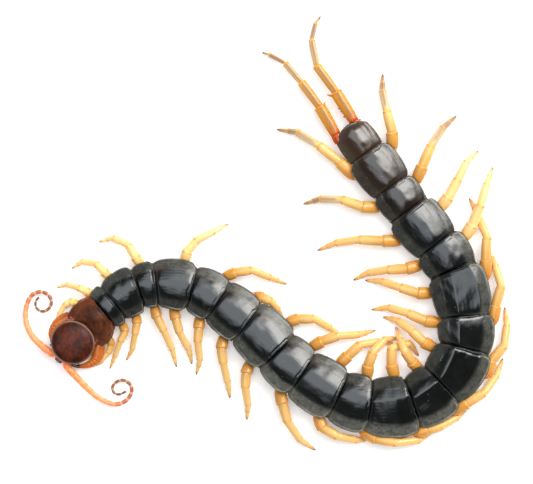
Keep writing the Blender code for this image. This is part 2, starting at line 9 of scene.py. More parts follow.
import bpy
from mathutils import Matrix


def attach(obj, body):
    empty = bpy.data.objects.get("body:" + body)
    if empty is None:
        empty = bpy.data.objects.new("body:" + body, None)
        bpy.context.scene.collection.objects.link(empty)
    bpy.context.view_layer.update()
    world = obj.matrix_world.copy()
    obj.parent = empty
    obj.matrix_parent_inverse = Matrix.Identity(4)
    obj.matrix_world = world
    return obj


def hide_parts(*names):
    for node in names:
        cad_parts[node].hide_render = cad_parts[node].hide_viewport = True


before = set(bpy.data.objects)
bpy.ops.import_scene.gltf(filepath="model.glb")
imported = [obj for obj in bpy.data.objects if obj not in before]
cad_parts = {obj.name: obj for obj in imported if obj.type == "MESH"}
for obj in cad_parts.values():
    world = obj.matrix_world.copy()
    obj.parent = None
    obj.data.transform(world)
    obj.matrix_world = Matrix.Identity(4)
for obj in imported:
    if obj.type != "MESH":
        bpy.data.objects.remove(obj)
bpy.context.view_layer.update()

import logging
import math
from dataclasses import dataclass, field
from enum import Enum
from functools import cache

import bpy
import numpy as np
from numpy.typing import NDArray

Array = NDArray[np.float64]
Indices = NDArray[np.int32]
Knots = tuple[tuple[float, ...], ...]
Colour = tuple[float, float, float]

LOG = logging.getLogger("centipede")
MM = 0.001
CRISP_EDGE = 48.0  # degrees past which an edge is shaded sharp


class Side(Enum):
    """The animal's own left and right, with the sign of the way out."""

    LEFT = ("left", 1.0)
    RIGHT = ("right", -1.0)

    @property
    def word(self) -> str:
        """The side as used in names."""
        return self.value[0]

    @property
    def sign(self) -> float:
        """1 on the left of the back line and -1 on its right."""
        return self.value[1]


class Slot(Enum):
    """The record's material slots."""

    HEAD = "head"
    COLLAR = "collar"
    TRUNK = "trunk"
    TAIL = "tail"
    FORCIPULE = "forcipule"
    ANTENNA = "antenna"
    LEG = "leg"
    LAST_LEG = "last_leg"
    CLAW = "claw"
    FANG = "fang"
    OCELLUS = "ocellus"
    MEMBRANE = "membrane"
    UNDERSIDE = "underside"
    SPINE = "spine"


# Sizes shared with the solids

BACK_LINE = (
    (-54.1, -32.2), (-43.0, -20.0), (-33.7, -13.8), (-28.7, -12.6), (-19.6, -13.8),
    (-5.2, -22.8), (9.0, -36.1), (26.9, -44.4), (37.8, -43.9), (45.6, -38.9),
    (51.4, -29.6), (51.3, -20.3), (48.5, -9.4), (37.1, 6.2), (20.8, 28.3),
)
PLAN_CENTRE = (-0.3, 0.3)
HEAD_LENGTH = 11.2
HEAD_WIDTH = 11.6
SEGMENTS = (
    (5.5, 13.5), (3.8, 12.0), (7.3, 13.0), (4.9, 12.2), (9.4, 13.4), (7.7, 13.2), (9.4, 14.0),
    (10.7, 15.1), (8.7, 14.8), (11.0, 15.4), (8.7, 15.2), (11.2, 16.2), (9.2, 15.6), (11.3, 15.7),
    (8.6, 15.0), (12.2, 15.4), (8.1, 14.3), (11.3, 14.3), (7.8, 12.6), (10.7, 13.0), (9.1, 10.6),
)
BODY_LENGTHS = ((1,), *((number, number + 1) for number in range(2, 20, 2)), (20,), (21,))
HEIGHT_TO_WIDTH = 0.52
PLATE_PROFILE = (
    (0.0, 0.84, 0.88), (0.14, 0.93, 0.94), (0.40, 0.995, 0.98), (0.70, 1.01, 1.0),
    (0.92, 0.95, 1.0), (1.0, 0.88, 0.97),
)
FIRST_PROFILE = (
    (-0.35, 0.96, 0.66), (0.0, 1.01, 0.76), (0.2, 1.03, 0.86), (0.45, 1.01, 0.94),
    (0.80, 0.89, 1.0), (1.0, 0.81, 0.97),
)
LAST_PROFILE = (
    (0.0, 0.90, 0.92), (0.14, 0.98, 0.97), (0.40, 1.0, 1.02), (0.66, 0.96, 1.02),
    (0.84, 0.86, 0.96), (1.0, 0.66, 0.82),
)
LAST = len(SEGMENTS)


def hermite(u: Array, width: Array, values: tuple[Array, ...], slopes: tuple[Array, ...]) -> Array:
    """The cubic that has the given values and slopes at both ends of a stretch.

    Args:
        u: Share of the stretch, from 0 to 1.
        width: Length of the stretch.
        values: Values at its start and its end.
        slopes: Slopes at its start and its end.

    Returns:
        The cubic's values at u.
    """
    return (
        (2 * u**3 - 3 * u**2 + 1) * values[0]
        + (u**3 - 2 * u**2 + u) * width * slopes[0]
        + (3 * u**2 - 2 * u**3) * values[1]
        + (u**3 - u**2) * width * slopes[1]
    )


def smooth_between(x: Array, knots: Knots, column: int = 1) -> Array:
    """Reads a smooth curve through a few knots.

    Between two knots the curve is a cubic whose end slopes are the harmonic means of the slopes
    on both sides, or level at a turning point, so it never passes its knots. It is held level
    beyond both ends.

    Args:
        x: Places to read.
        knots: Rows that start with the place.
        column: The column of the rows to read.

    Returns:
        The curve's values at x.
    """
    table = np.array(knots, float)
    place, value = table[:, 0], table[:, column]
    step = np.diff(place)
    slope = np.diff(value) / step
    product = slope[:-1] * slope[1:]
    inner = np.where(product > 0, 2 * product / np.where(product > 0, slope[:-1] + slope[1:], 1), 0)
    ends = np.concatenate([[slope[0]], inner, [slope[-1]]])
    x = np.clip(x, place[0], place[-1])
    i = np.clip(np.searchsorted(place, x, side="right") - 1, 0, len(step) - 1)
    u = (x - place[i]) / step[i]
    return hermite(u, step[i], (value[i], value[i + 1]), (ends[i], ends[i + 1]))


def bump_at(x: Array, place: float, width: float) -> Array:
    """A bell of height 1 round a place: the exponential of minus the squared distance in widths."""
    return np.exp(-(((x - place) / width) ** 2))


@dataclass(frozen=True)
class Ridge:
    """A long ridge, or a groove where its height is below zero, with a bell as its section."""

    height: float
    place: float
    width: float

    def over(self, x: Array) -> Array:
        """Its height at distances x: a bell of its width round its place."""
        return self.height * bump_at(x, self.place, self.width)


def ease(x: Array) -> Array:
    """A smooth step from 0 to 1 as x goes from 0 to 1: three x squared less two x cubed."""
    x = np.clip(x, 0.0, 1.0)
    return x * x * (3 - 2 * x)


def unit(vectors: Array) -> Array:
    """Vectors scaled to length 1."""
    return vectors / np.maximum(np.linalg.norm(vectors, axis=-1, keepdims=True), 1e-9)


def circle(count: int) -> Array:
    """Angles of evenly spaced points round a circle, in radians."""
    return np.linspace(0, 2 * np.pi, count, endpoint=False)


def boxed(turn: Array, power: float) -> tuple[Array, Array]:
    """Cosine and sine drawn out towards a square: the size of each to a power, with its sign."""
    c, d = np.cos(turn), np.sin(turn)
    return np.sign(c) * np.abs(c) ** power, np.sign(d) * np.abs(d) ** power


def heading(degrees: Array | float) -> Array:
    """Unit vectors on the plan at angles from +X."""
    angle = np.radians(degrees)
    return np.stack([np.cos(angle), np.sin(angle)], axis=-1)


def ways_of(centres: Array) -> Array:
    """Unit vectors along a line of points."""
    return unit(np.gradient(centres, axis=0))


def ripples(x: Array, y: Array, seed: int, wave: tuple[float, float], depth: float) -> Array:
    """Gentle unevenness: the mean of nine sine waves with seeded ways, lengths and phases.

    Args:
        x: First coordinate, mm.
        y: Second coordinate, mm.
        seed: Seed of the waves.
        wave: Shortest and longest wave, mm.
        depth: Height of each wave, mm.

    Returns:
        The height at each point, mm.
    """
    rng = np.random.default_rng(seed)
    way = rng.uniform(0, 2 * np.pi, 9)
    length = rng.uniform(*wave, 9)
    phase = rng.uniform(0, 2 * np.pi, 9)
    across = x[..., None] * np.cos(way) + y[..., None] * np.sin(way)
    return depth * np.sin(across * 2 * np.pi / length + phase).sum(-1) / 3


class BackLine:
    """The middle of the back on the plan, walked by the distance from the head's front edge."""

    def __init__(self, knots: Knots, centre: tuple[float, float], spacing: float = 0.1) -> None:
        """Draws the line: each stretch between knots is a cubic with its neighbours' slopes.

        Args:
            knots: Points on the plan, mm.
            centre: The point of the plan that becomes the origin, mm.
            spacing: Distance between the points that are worked out, mm.
        """
        points = np.array(knots, float)
        chord = np.concatenate([[0.0], np.cumsum(np.linalg.norm(np.diff(points, axis=0), axis=1))])
        slopes = np.gradient(points, chord, axis=0)
        t = np.arange(0.0, chord[-1], spacing)
        i = np.searchsorted(chord, t, side="right") - 1
        width = (chord[i + 1] - chord[i])[:, None]
        u = (t - chord[i])[:, None] / width
        ends = (points[i], points[i + 1]), (slopes[i], slopes[i + 1])
        self.points = hermite(u, width, *ends) - centre
        steps = np.linalg.norm(np.diff(self.points, axis=0), axis=1)
        self.along = np.concatenate([[0.0], np.cumsum(steps)])

    def _read(self, s: Array) -> Array:
        """Points at distances inside the line, by straight steps."""
        return np.stack([np.interp(s, self.along, self.points[:, k]) for k in (0, 1)], axis=-1)

    def tailward(self, s: Array | float) -> Array:
        """Unit vectors towards the tail, each over the millimetre round its place."""
        s = np.clip(np.asarray(s, float), 0.0, self.along[-1])
        low, high = np.maximum(s - 0.5, 0.0), np.minimum(s + 0.5, self.along[-1])
        return unit(self._read(high) - self._read(low))

    def place(self, s: Array | float) -> Array:
        """Points at distances along the line, straight on past either end."""
        s = np.asarray(s, float)
        inside = np.clip(s, 0.0, self.along[-1])
        return self._read(inside) + (s - inside)[..., None] * self.tailward(inside)

    def left(self, s: Array | float) -> Array:
        """Unit vectors towards the animal's left."""
        tail = self.tailward(s)
        return np.stack([tail[..., 1], -tail[..., 0]], axis=-1)

    def at(self, s: Array, across: Array, up: Array) -> Array:
        """Points given by distance along the back, distance out to the left, and height."""
        s, across, up = np.broadcast_arrays(*(np.asarray(v, float) for v in (s, across, up)))
        plan = self.place(s) + across[..., None] * self.left(s)
        return np.concatenate([plan, up[..., None]], axis=-1)

    def ahead(self, forward: Array | float, out: Array | float, up: Array | float) -> Array:
        """Points given ahead of the head's middle, out to its left, and up."""
        forward, out, up = np.broadcast_arrays(*(np.asarray(v, float) for v in (forward, out, up)))
        middle = HEAD_LENGTH / 2
        plan = self.place(middle) - forward[..., None] * self.tailward(middle)
        plan = plan + out[..., None] * self.left(middle)
        return np.concatenate([plan, up[..., None]], axis=-1)


BACK = BackLine(BACK_LINE, PLAN_CENTRE)
PLATE_ENDS = HEAD_LENGTH + np.concatenate([[0.0], np.cumsum([row[0] for row in SEGMENTS])])


def segment_size(number: int) -> tuple[float, float, float, float]:
    """Where a segment starts on the back line, its length, half width and height."""
    length, width = SEGMENTS[number - 1]
    return float(PLATE_ENDS[number - 1]), length, width / 2, width * HEIGHT_TO_WIDTH


def profile_of(number: int) -> Knots:
    """The rows of place, width share and height share along a segment."""
    return {1: FIRST_PROFILE, LAST: LAST_PROFILE}.get(number, PLATE_PROFILE)


# Surfaces


@dataclass
class Surface:
    """Points, faces and named values at the points: a shape in mm on its way to a mesh."""

    points: Array
    quads: Indices
    triangles: Indices
    values: dict[str, Array] = field(default_factory=dict)

    def outward(self) -> "Surface":
        """The same closed surface with its faces outwards.

        The sum over the faces of the corner triple products is six times the volume, and it is
        below zero where the faces point inwards.
        """
        q, t, p = self.quads, self.triangles, self.points
        faces = np.concatenate([q[:, [0, 1, 2]], q[:, [0, 2, 3]], t])
        a, b, c = (p[faces[:, k]] for k in range(3))
        if np.einsum("ij,ij->", a, np.cross(b, c)) < 0:
            return Surface(p, q[:, ::-1], t[:, ::-1], self.values)
        return self

    @staticmethod
    def joined(parts: "list[Surface]") -> "Surface":
        """Several surfaces as one, with a value that a part lacks taken as nothing.

        Args:
            parts: The surfaces.

        Returns:
            One surface with all their points, faces and values.
        """
        starts = np.cumsum([0, *(len(part.points) for part in parts)])
        names = sorted({name for part in parts for name in part.values})
        values = {}
        for name in names:
            shape = next(part.values[name].shape[1:] for part in parts if name in part.values)
            values[name] = np.concatenate(
                [part.values.get(name, np.zeros((len(part.points), *shape))) for part in parts]
            )
        return Surface(
            np.concatenate([part.points for part in parts]),
            np.concatenate([part.quads + start for part, start in zip(parts, starts)]),
            np.concatenate([part.triangles + start for part, start in zip(parts, starts)]),
            values,
        )


NO_TRIANGLES: Indices = np.empty((0, 3), np.int32)


def cells(index: Indices) -> Indices:
    """The quads of a grid of point numbers."""
    corners = [index[:-1, :-1], index[:-1, 1:], index[1:, 1:], index[1:, :-1]]
    return np.stack([corner.ravel() for corner in corners], axis=1)


def wrapped(index: Indices) -> Indices:
    """A grid of point numbers with its first column again after its last."""
    return np.concatenate([index, index[:, :1]], axis=1)


def thick_sheet(top: Array, bottom: Array, bulge: float, values: dict[str, Array]) -> Surface:
    """A closed sheet from two grids of the same shape, with its edge rounded.

    The edge is three rows between the two rims, on a half circle of the wall's thickness that is
    pressed outwards by the bulge.

    Args:
        top: Upper grid of points.
        bottom: Lower grid of points.
        bulge: How far the edge stands out, mm.
        values: Named values on the grid, the same above and below.

    Returns:
        The closed sheet.
    """
    rows, columns = top.shape[:2]
    count = rows * columns
    index = np.arange(count).reshape(rows, columns)
    rim = np.concatenate([index[0, :-1], index[:-1, -1], index[-1, :0:-1], index[:0:-1, 0]])
    inner = np.concatenate([index[1, :-1], index[:-1, -2], index[-2, :0:-1], index[:0:-1, 1]])
    upper, lower = top.reshape(-1, 3), bottom.reshape(-1, 3)
    middle, half = (upper[rim] + lower[rim]) / 2, (upper[rim] - lower[rim]) / 2
    out = unit(upper[rim] - upper[inner])
    angles = np.radians([45.0, 90.0, 135.0])[:, None, None]
    edge = middle + half * np.cos(angles) + bulge * out * np.sin(angles)
    ladder = np.concatenate(
        [rim[None], 2 * count + np.arange(3 * len(rim)).reshape(3, -1), rim[None] + count]
    )
    flat = {name: value.reshape(count, *value.shape[2:]) for name, value in values.items()}
    spread = {name: np.concatenate([v, v, *(v[rim],) * 3]) for name, v in flat.items()}
    points = np.concatenate([upper, lower, edge.reshape(-1, 3)])
    quads = [cells(index), cells(index + count)[:, ::-1], cells(wrapped(ladder))[:, ::-1]]
    return Surface(points, np.concatenate(quads), NO_TRIANGLES, spread).outward()


def closed_rings(rings: Array, first: Array, last: Array, values: dict[str, Array]) -> Surface:
    """A closed surface through rings of points, with a pole at each end.

    Args:
        rings: Rings of equally many points, shape (rings, points, 3).
        first: The pole before the first ring.
        last: The pole after the last ring.
        values: Named values, one for each ring or one for each point of each ring.

    Returns:
        The closed surface.
    """
    count, sides = rings.shape[:2]
    index = wrapped(np.arange(count * sides).reshape(count, sides))
    poles = count * sides, count * sides + 1
    fan_first = np.stack([np.full(sides, poles[0]), index[0, 1:], index[0, :-1]], axis=1)
    fan_last = np.stack([np.full(sides, poles[1]), index[-1, :-1], index[-1, 1:]], axis=1)
    spread = {}
    for name, value in values.items():
        value = np.broadcast_to(value.reshape(count, -1), (count, sides))
        spread[name] = np.concatenate([value.ravel(), [value[0].mean(), value[-1].mean()]])
    points = np.concatenate([rings.reshape(-1, 3), [first], [last]])
    return Surface(points, cells(index), np.concatenate([fan_first, fan_last]), spread).outward()


def rod(
    centres: Array, ways: Array, wide: Array, tall: Array, sides: int, values: dict[str, Array]
) -> Surface:
    """A profile carried along a path: an oval across the way, level with the floor.

    Args:
        centres: Middle of each ring.
        ways: Unit vector along the path at each ring.
        wide: Half width of each ring, mm.
        tall: Half height of each ring, mm.
        sides: Points in a ring.
        values: Named values for each ring.

    Returns:
        The closed rod, with a low pole at each end.
    """
    across = unit(np.cross(ways, [0.0, 0.0, 1.0]))
    up = np.cross(across, ways)
    turn = circle(sides)
    rings = (
        centres[:, None]
        + wide[:, None, None] * np.cos(turn)[:, None] * across[:, None]
        + tall[:, None, None] * np.sin(turn)[:, None] * up[:, None]
    )
    first = centres[0] - 0.25 * wide[0] * ways[0]
    last = centres[-1] + 0.25 * wide[-1] * ways[-1]
    ring_up = np.broadcast_to(np.sin(turn), (len(centres), sides))
    return closed_rings(rings, first, last, {**values, "above": ring_up})


def spike(foot: Array, tip: Array, radius: Array, sides: int) -> Surface:
    """A straight rod from foot to tip that is held just over the floor.

    Args:
        foot: Where it starts.
        tip: Where it ends.
        radius: Its radius at evenly spaced rings, mm.
        sides: Points in a ring.

    Returns:
        The closed rod.
    """
    t = np.linspace(0, 1, len(radius))
    centres = foot + t[:, None] * (tip - foot)
    centres[:, 2] = np.maximum(centres[:, 2], radius + 0.005)
    ways = np.repeat(unit(tip - foot)[None], len(t), 0)
    return rod(centres, ways, radius, radius, sides, {"run": t})


def lens(centre: Array, axis: Array, radius: float, height: float, rings: int = 7) -> Surface:
    """A flattened ball: rings of a half circle turned round an axis.

    Args:
        centre: Its middle.
        axis: Unit vector that it is flattened along.
        radius: Its radius, mm.
        height: Half its thickness, mm.
        rings: How many rings it has.

    Returns:
        The closed ball.
    """
    angle = np.linspace(0.12, np.pi - 0.12, rings)
    side = unit(np.cross(axis, [0.3, 0.1, 0.9]))
    other = np.cross(axis, side)
    turn = circle(16)[:, None]
    ring = np.cos(turn) * side + np.sin(turn) * other
    points = centre + radius * np.sin(angle)[:, None, None] * ring
    points = points - height * np.cos(angle)[:, None, None] * axis
    return closed_rings(points, centre - height * axis, centre + height * axis, {})


def rounded_path(joints: Array, spots: Array, rounding: float) -> tuple[Array, Array]:
    """Walks straight runs whose corners are rounded.

    Near a joint the path is the curve that starts and ends on the two runs with the joint as its
    middle control point; elsewhere it is straight.

    Args:
        joints: Corners of the path.
        spots: Distances along the straight runs.
        rounding: Distance from a joint at which its curve starts.

    Returns:
        The points and the unit vectors along the path.
    """
    runs = np.diff(joints, axis=0)
    lengths = np.linalg.norm(runs, axis=1)
    ways = runs / lengths[:, None]
    along = np.concatenate([[0.0], np.cumsum(lengths)])
    i = np.clip(np.searchsorted(along, spots, side="right") - 1, 0, len(runs) - 1)
    points = joints[i] + (spots - along[i])[:, None] * ways[i]
    result = ways[i].copy()
    for k in range(1, len(runs)):
        reach = min(rounding, 0.45 * lengths[k - 1], 0.45 * lengths[k])
        near = np.abs(spots - along[k]) < reach
        q = ((spots[near] - along[k] + reach) / (2 * reach))[:, None]
        start, end = joints[k] - reach * ways[k - 1], joints[k] + reach * ways[k]
        points[near] = (1 - q) ** 2 * start + 2 * q * (1 - q) * joints[k] + q**2 * end
        result[near] = unit((1 - q) * ways[k - 1] + q * ways[k])
    return points, result


def normals_of(grid: Array) -> Array:
    """Unit normals of a grid of points, pointing up: the cross product of its two ways."""
    normal = unit(np.cross(np.gradient(grid, axis=0), np.gradient(grid, axis=1)))
    return normal * np.sign(normal[..., 2].mean() + 1e-9)


# Finishes


def tint(red: float, green: float, blue: float) -> Colour:
    """A colour given as the screen shows it, 0 to 255, turned to light: the screen's own curve."""
    share = np.array([red, green, blue]) / 255
    light = np.where(share <= 0.04045, share / 12.92, ((share + 0.055) / 1.055) ** 2.4)
    return tuple(float(v) for v in light)


def colours_along(*rows: tuple[float, float, float, float]) -> tuple[tuple[float, Colour], ...]:
    """Stops of a run of colours, each from its place and its colour as the screen shows it."""
    return tuple((place, tint(*shown)) for place, *shown in rows)


Socket = bpy.types.NodeSocket
Feed = Socket | float | tuple[float, ...]


class Nodes:
    """A tree of shader nodes, added and linked one at a time."""

    def __init__(self, tree: bpy.types.NodeTree) -> None:
        """Takes the tree that it adds to."""
        self.tree = tree

    def feed(self, socket: Socket, value: Feed) -> None:
        """Links a socket to another or sets its number."""
        if isinstance(value, bpy.types.NodeSocket):
            self.tree.links.new(value, socket)
        elif socket.type == "RGBA":
            socket.default_value = (*value, 1.0)
        else:
            socket.default_value = value

    def add(self, kind: str, output: str | int, feeds: dict[str | int, Feed] | None = None,
            **settings: str | bool) -> Socket:
        """Adds a node.

        Args:
            kind: The node's type, without its prefix.
            output: The output that is wanted.
            feeds: What goes into its inputs.
            settings: The node's own settings.

        Returns:
            The output's socket.
        """
        node = self.tree.nodes.new(f"ShaderNode{kind}")
        for name, setting in settings.items():
            setattr(node, name, setting)
        for name, value in (feeds or {}).items():
            self.feed(node.inputs[name], value)
        return node.outputs[output]

    def product(self, way: Socket, vector: Array) -> Socket:
        """How much of a direction lies along a vector: their dot product."""
        return self.add("VectorMath", "Value", {0: way, 1: tuple(vector)}, operation="DOT_PRODUCT")

    def rise(self, value: Socket, none: float, full: float, low: float = 0.0, high: float = 1.0
             ) -> Socket:
        """A smooth change from low, where the value is none, to high, where it is full."""
        feeds = {"Value": value, "From Min": none, "From Max": full, "To Min": low, "To Max": high}
        return self.add("MapRange", "Result", feeds, interpolation_type="SMOOTHSTEP")


class Graph(Nodes):
    """A material's nodes round its one Principled BSDF."""

    def __init__(self, name: str) -> None:
        """Starts the material."""
        self.material = bpy.data.materials.new(name)
        self.material.use_nodes = True
        super().__init__(self.material.node_tree)

    def set(self, **sockets: Feed) -> None:
        """Feeds the shader's sockets, named with underscores for spaces."""
        shader = self.tree.nodes["Principled BSDF"]
        for name, value in sockets.items():
            self.feed(shader.inputs[name.replace("_", " ")], value)

    def value(self, name: str) -> Socket:
        """A number kept at the mesh's points, or 0 on a mesh without it."""
        return self.add("Attribute", "Fac", attribute_name=name)

    def vector(self, name: str) -> Socket:
        """A vector kept at the mesh's points."""
        return self.add("Attribute", "Vector", attribute_name=name)

    def place(self) -> Socket:
        """Object coordinates in mm."""
        return self.scaled(self.add("TexCoord", "Object"), (1 / MM,) * 3)

    def scaled(self, vector: Socket, scale: tuple[float, float, float]) -> Socket:
        """A vector stretched along its axes."""
        return self.add("Mapping", "Vector", {"Vector": vector, "Scale": scale})

    def noise(self, vector: Socket, scale: float, detail: float = 3.0, rough: float = 0.5
              ) -> Socket:
        """Cloudy noise from 0 to 1, with so many clouds to a mm."""
        feeds = {"Vector": vector, "Scale": scale, "Detail": detail, "Roughness": rough}
        return self.add("TexNoise", "Fac", feeds)

    def pits(self, vector: Socket, scale: float) -> Socket:
        """Distance from the nearest of scattered points, with so many to a mm."""
        return self.add("TexVoronoi", "Distance", {"Vector": vector, "Scale": scale})

    def ramp(self, factor: Socket, *stops: tuple[float, Colour | float]) -> Socket:
        """Colours or greys at places from 0 to 1.

        Args:
            factor: The place to read.
            stops: Each place with its colour or grey.

        Returns:
            The colour.
        """
        colours = self.add("ValToRGB", "Color", {"Fac": factor})
        band = colours.node.color_ramp
        while len(band.elements) < len(stops):
            band.elements.new(0.5)
        for element, (place, colour) in zip(band.elements, stops):
            element.position = place
            element.color = (*(colour if isinstance(colour, tuple) else (colour,) * 3), 1.0)
        return colours

    def mix(self, factor: Socket | float, first: Feed, second: Feed) -> Socket:
        """Two colours mixed by a factor."""
        return self.add("Mix", 2, {0: factor, 6: first, 7: second}, data_type="RGBA")

    def times(self, first: Socket, second: Socket | float) -> Socket:
        """The product of two numbers, held between 0 and 1."""
        return self.add("Math", 0, {0: first, 1: second}, operation="MULTIPLY", use_clamp=True)

    def bump(self, height: Socket, depth: float, under: Socket | None = None) -> Socket:
        """A normal bent by a height from 0 to 1, which stands for a depth in mm."""
        feeds = {"Distance": depth * MM, "Height": height}
        return self.add("Bump", "Normal", feeds if under is None else {**feeds, "Normal": under})


@dataclass(frozen=True)
class PlateFinish:
    """Glossy dark horn: a smooth arch, duller flanges, a dark rim and a pale translucent edge."""

    name: str
    arch: Colour
    cloud: Colour
    flange: Colour
    edge: Colour
    warm: Colour = (0.020, 0.010, 0.006)
    specks: float = 0.7
    polish: tuple[float, float] = (0.08, 0.17)

    def material(self) -> bpy.types.Material:
        """Builds the material from the points' values: lie, flange, edge, warm and seam.

        Returns:
            The material.
        """
        graph = Graph(self.name)
        lie, place = graph.vector("lie"), graph.place()
        flange, edge = graph.value("flange"), graph.value("edge")
        clouds = graph.noise(place, 0.22, 4.0, 0.6)
        grain = graph.noise(graph.scaled(lie, (1.0, 0.22, 1.0)), 2.2, 4.0, 0.6)
        colour = graph.mix(graph.ramp(clouds, (0.38, 0.0), (0.66, 1.0)), self.arch, self.cloud)
        colour = graph.mix(graph.ramp(grain, (0.45, 0.0), (0.75, 0.45)), colour, self.cloud)
        patch = graph.noise(place, 0.5, 5.0, 0.65)
        colour = graph.mix(graph.value("warm"), colour, self.warm)
        worn = graph.times(flange, graph.ramp(patch, (0.34, 0.45), (0.62, 1.0)))
        mottle = graph.noise(place, 1.5, 5.0, 0.7)
        worn = graph.times(worn, graph.ramp(mottle, (0.36, 0.45), (0.58, 1.1)))
        colour = graph.mix(worn, colour, self.flange)
        broken = graph.times(edge, graph.ramp(patch, (0.36, 0.25), (0.62, 1.0)))
        colour = graph.mix(broken, colour, self.edge)
        # Scattered pale specks, made matte below, are painted highlights standing in for small
        # glints.
        dots = graph.ramp(graph.pits(place, 0.75), (0.035, 1.0), (0.075, 0.0))
        sparse = graph.ramp(graph.noise(place, 0.16, 2.0), (0.46, 0.0), (0.54, self.specks))
        glint_specks = graph.times(dots, sparse)
        colour = graph.mix(glint_specks, colour, tint(190, 178, 150))
        dull = graph.mix(flange, graph.ramp(grain, (0.3, self.polish[0]), (0.8, self.polish[1])),
                         graph.ramp(patch, (0.3, 0.34), (0.7, 0.5)))
        dull = graph.mix(glint_specks, dull, (0.8, 0.8, 0.8))
        dull = graph.mix(graph.value("seam"), dull, (0.7, 0.7, 0.7))
        streaks = graph.noise(graph.scaled(lie, (1.0, 0.12, 1.0)), 2.6, 4.0, 0.6)
        fine = graph.noise(place, 3.2, 4.0, 0.6)
        normal = graph.bump(streaks, 0.014)
        normal = graph.bump(fine, 0.012, normal)
        normal = graph.bump(graph.noise(place, 0.6, 2.0), 0.03, normal)
        normal = graph.bump(graph.times(patch, flange), 0.22, normal)
        graph.set(Base_Color=colour, Roughness=dull, Normal=normal, Coat_Weight=0.25,
                  Coat_Roughness=0.06, Specular_IOR_Level=0.5)
        return graph.material


@dataclass(frozen=True)
class HornFinish:
    """Translucent horn of a limb, coloured along its run, with darker spots at its joints."""

    name: str
    run: tuple[tuple[float, Colour], ...]
    joint: Colour
    joint_share: float = 0.16
    core: Colour = (0.1, 0.05, 0.02)
    core_share: float = 0.0
    core_start: float = 0.0
    ring: Colour = (0.9, 0.7, 0.45)
    ring_share: float = 0.0

    def material(self) -> bpy.types.Material:
        """Builds the material from the points' values: run, joint, ring, spot and above.

        Returns:
            The material.
        """
        graph = Graph(self.name)
        place = graph.place()
        run, joint, ring = (graph.value(name) for name in ("run", "joint", "ring"))
        mottle = graph.noise(place, 1.1, 4.0, 0.6)
        colour = graph.ramp(run, *self.run)
        deep = graph.mix(0.22, colour, self.joint)
        colour = graph.mix(graph.ramp(mottle, (0.45, 0.0), (0.72, 0.45)), colour, deep)
        colour = graph.mix(graph.times(joint, self.joint_share), colour, self.joint)
        spot = graph.times(graph.value("spot"), graph.ramp(mottle, (0.3, 0.5), (0.6, 1.0)))
        colour = graph.mix(spot, colour, self.joint)
        if self.core_share:
            line = graph.ramp(graph.value("above"), (0.90, 0.0), (0.985, self.core_share))
            start = self.core_start
            line = graph.times(line, graph.ramp(run, (start, 0.0), (start + 0.04, 1.0)))
            line = graph.times(line, graph.ramp(joint, (0.1, 1.0), (0.6, 0.0)))
            colour = graph.mix(line, colour, self.core)
        pale = graph.times(ring, self.ring_share)
        colour = graph.mix(pale, colour, self.ring)
        freckles = graph.ramp(graph.pits(place, 2.2), (0.05, 0.35), (0.16, 0.0))
        colour = graph.mix(freckles, colour, deep)
        rough = graph.ramp(graph.noise(place, 2.4, 3.0), (0.3, 0.16), (0.75, 0.28))
        normal = graph.bump(graph.noise(place, 1.4, 3.0, 0.5), 0.03)
        normal = graph.bump(graph.noise(place, 7.0, 2.0), 0.004, normal)
        graph.set(Base_Color=colour, Roughness=rough, Normal=normal, Coat_Weight=0.4,
                  Coat_Roughness=0.05, Specular_IOR_Level=0.18, Subsurface_Weight=0.5,
                  Subsurface_Radius=(1.0, 0.7, 0.4), Subsurface_Scale=0.6 * MM)
        return graph.material


@dataclass(frozen=True)
class SkinFinish:
    """Soft leathery skin between the plates, in fine folds."""

    name: str
    # fold is painted shade in the bottoms of the folds and in the pits; crown is the skin on the
    # folds' crowns.
    fold: Colour
    crown: Colour
    glow: float = 0.1
    dull: float = 0.5
    depth: float = 0.22

    def material(self) -> bpy.types.Material:
        """Builds the material: folds of two sizes, with painted shade in their bottoms and in the
        pits.

        Returns:
            The material.
        """
        graph = Graph(self.name)
        place = graph.place()
        folds = graph.noise(place, 0.9, 5.0, 0.65)
        cracks = graph.pits(place, 1.6)
        # The colour follows the folds' and pits' depth: painted shade in the bottoms, the crown
        # colour on top.
        colour = graph.mix(graph.ramp(folds, (0.36, 0.0), (0.64, 1.0)), self.fold, self.crown)
        colour = graph.mix(graph.ramp(cracks, (0.1, 0.35), (0.5, 0.0)), colour, self.fold)
        normal = graph.bump(folds, self.depth)
        normal = graph.bump(cracks, self.depth * 0.5, normal)
        rough = graph.ramp(folds, (0.3, self.dull - 0.1), (0.7, self.dull + 0.1))
        graph.set(Base_Color=colour, Roughness=rough, Normal=normal, Subsurface_Weight=self.glow,
                  Subsurface_Radius=(1.0, 0.4, 0.2), Subsurface_Scale=0.5 * MM, Coat_Weight=0.15,
                  Coat_Roughness=0.3)
        return graph.material


@dataclass(frozen=True)
class PointFinish:
    """Hard polished horn of a claw, fang, spine or lens, dark at its tip."""

    name: str
    root: Colour
    tip: Colour
    dull: float = 0.16

    def material(self) -> bpy.types.Material:
        """Builds the material from the points' run, from root to tip.

        Returns:
            The material.
        """
        graph = Graph(self.name)
        place = graph.place()
        cloud = graph.noise(place, 1.8, 4.0, 0.6)
        colour = graph.ramp(graph.value("run"), (0.05, self.root), (0.75, self.tip))
        colour = graph.mix(graph.ramp(cloud, (0.4, 0.0), (0.75, 0.4)), colour, self.root)
        rough = graph.ramp(cloud, (0.3, self.dull), (0.7, self.dull + 0.12))
        normal = graph.bump(graph.noise(place, 5.0, 3.0), 0.02)
        graph.set(Base_Color=colour, Roughness=rough, Normal=normal, Coat_Weight=0.5,
                  Coat_Roughness=0.06)
        return graph.material


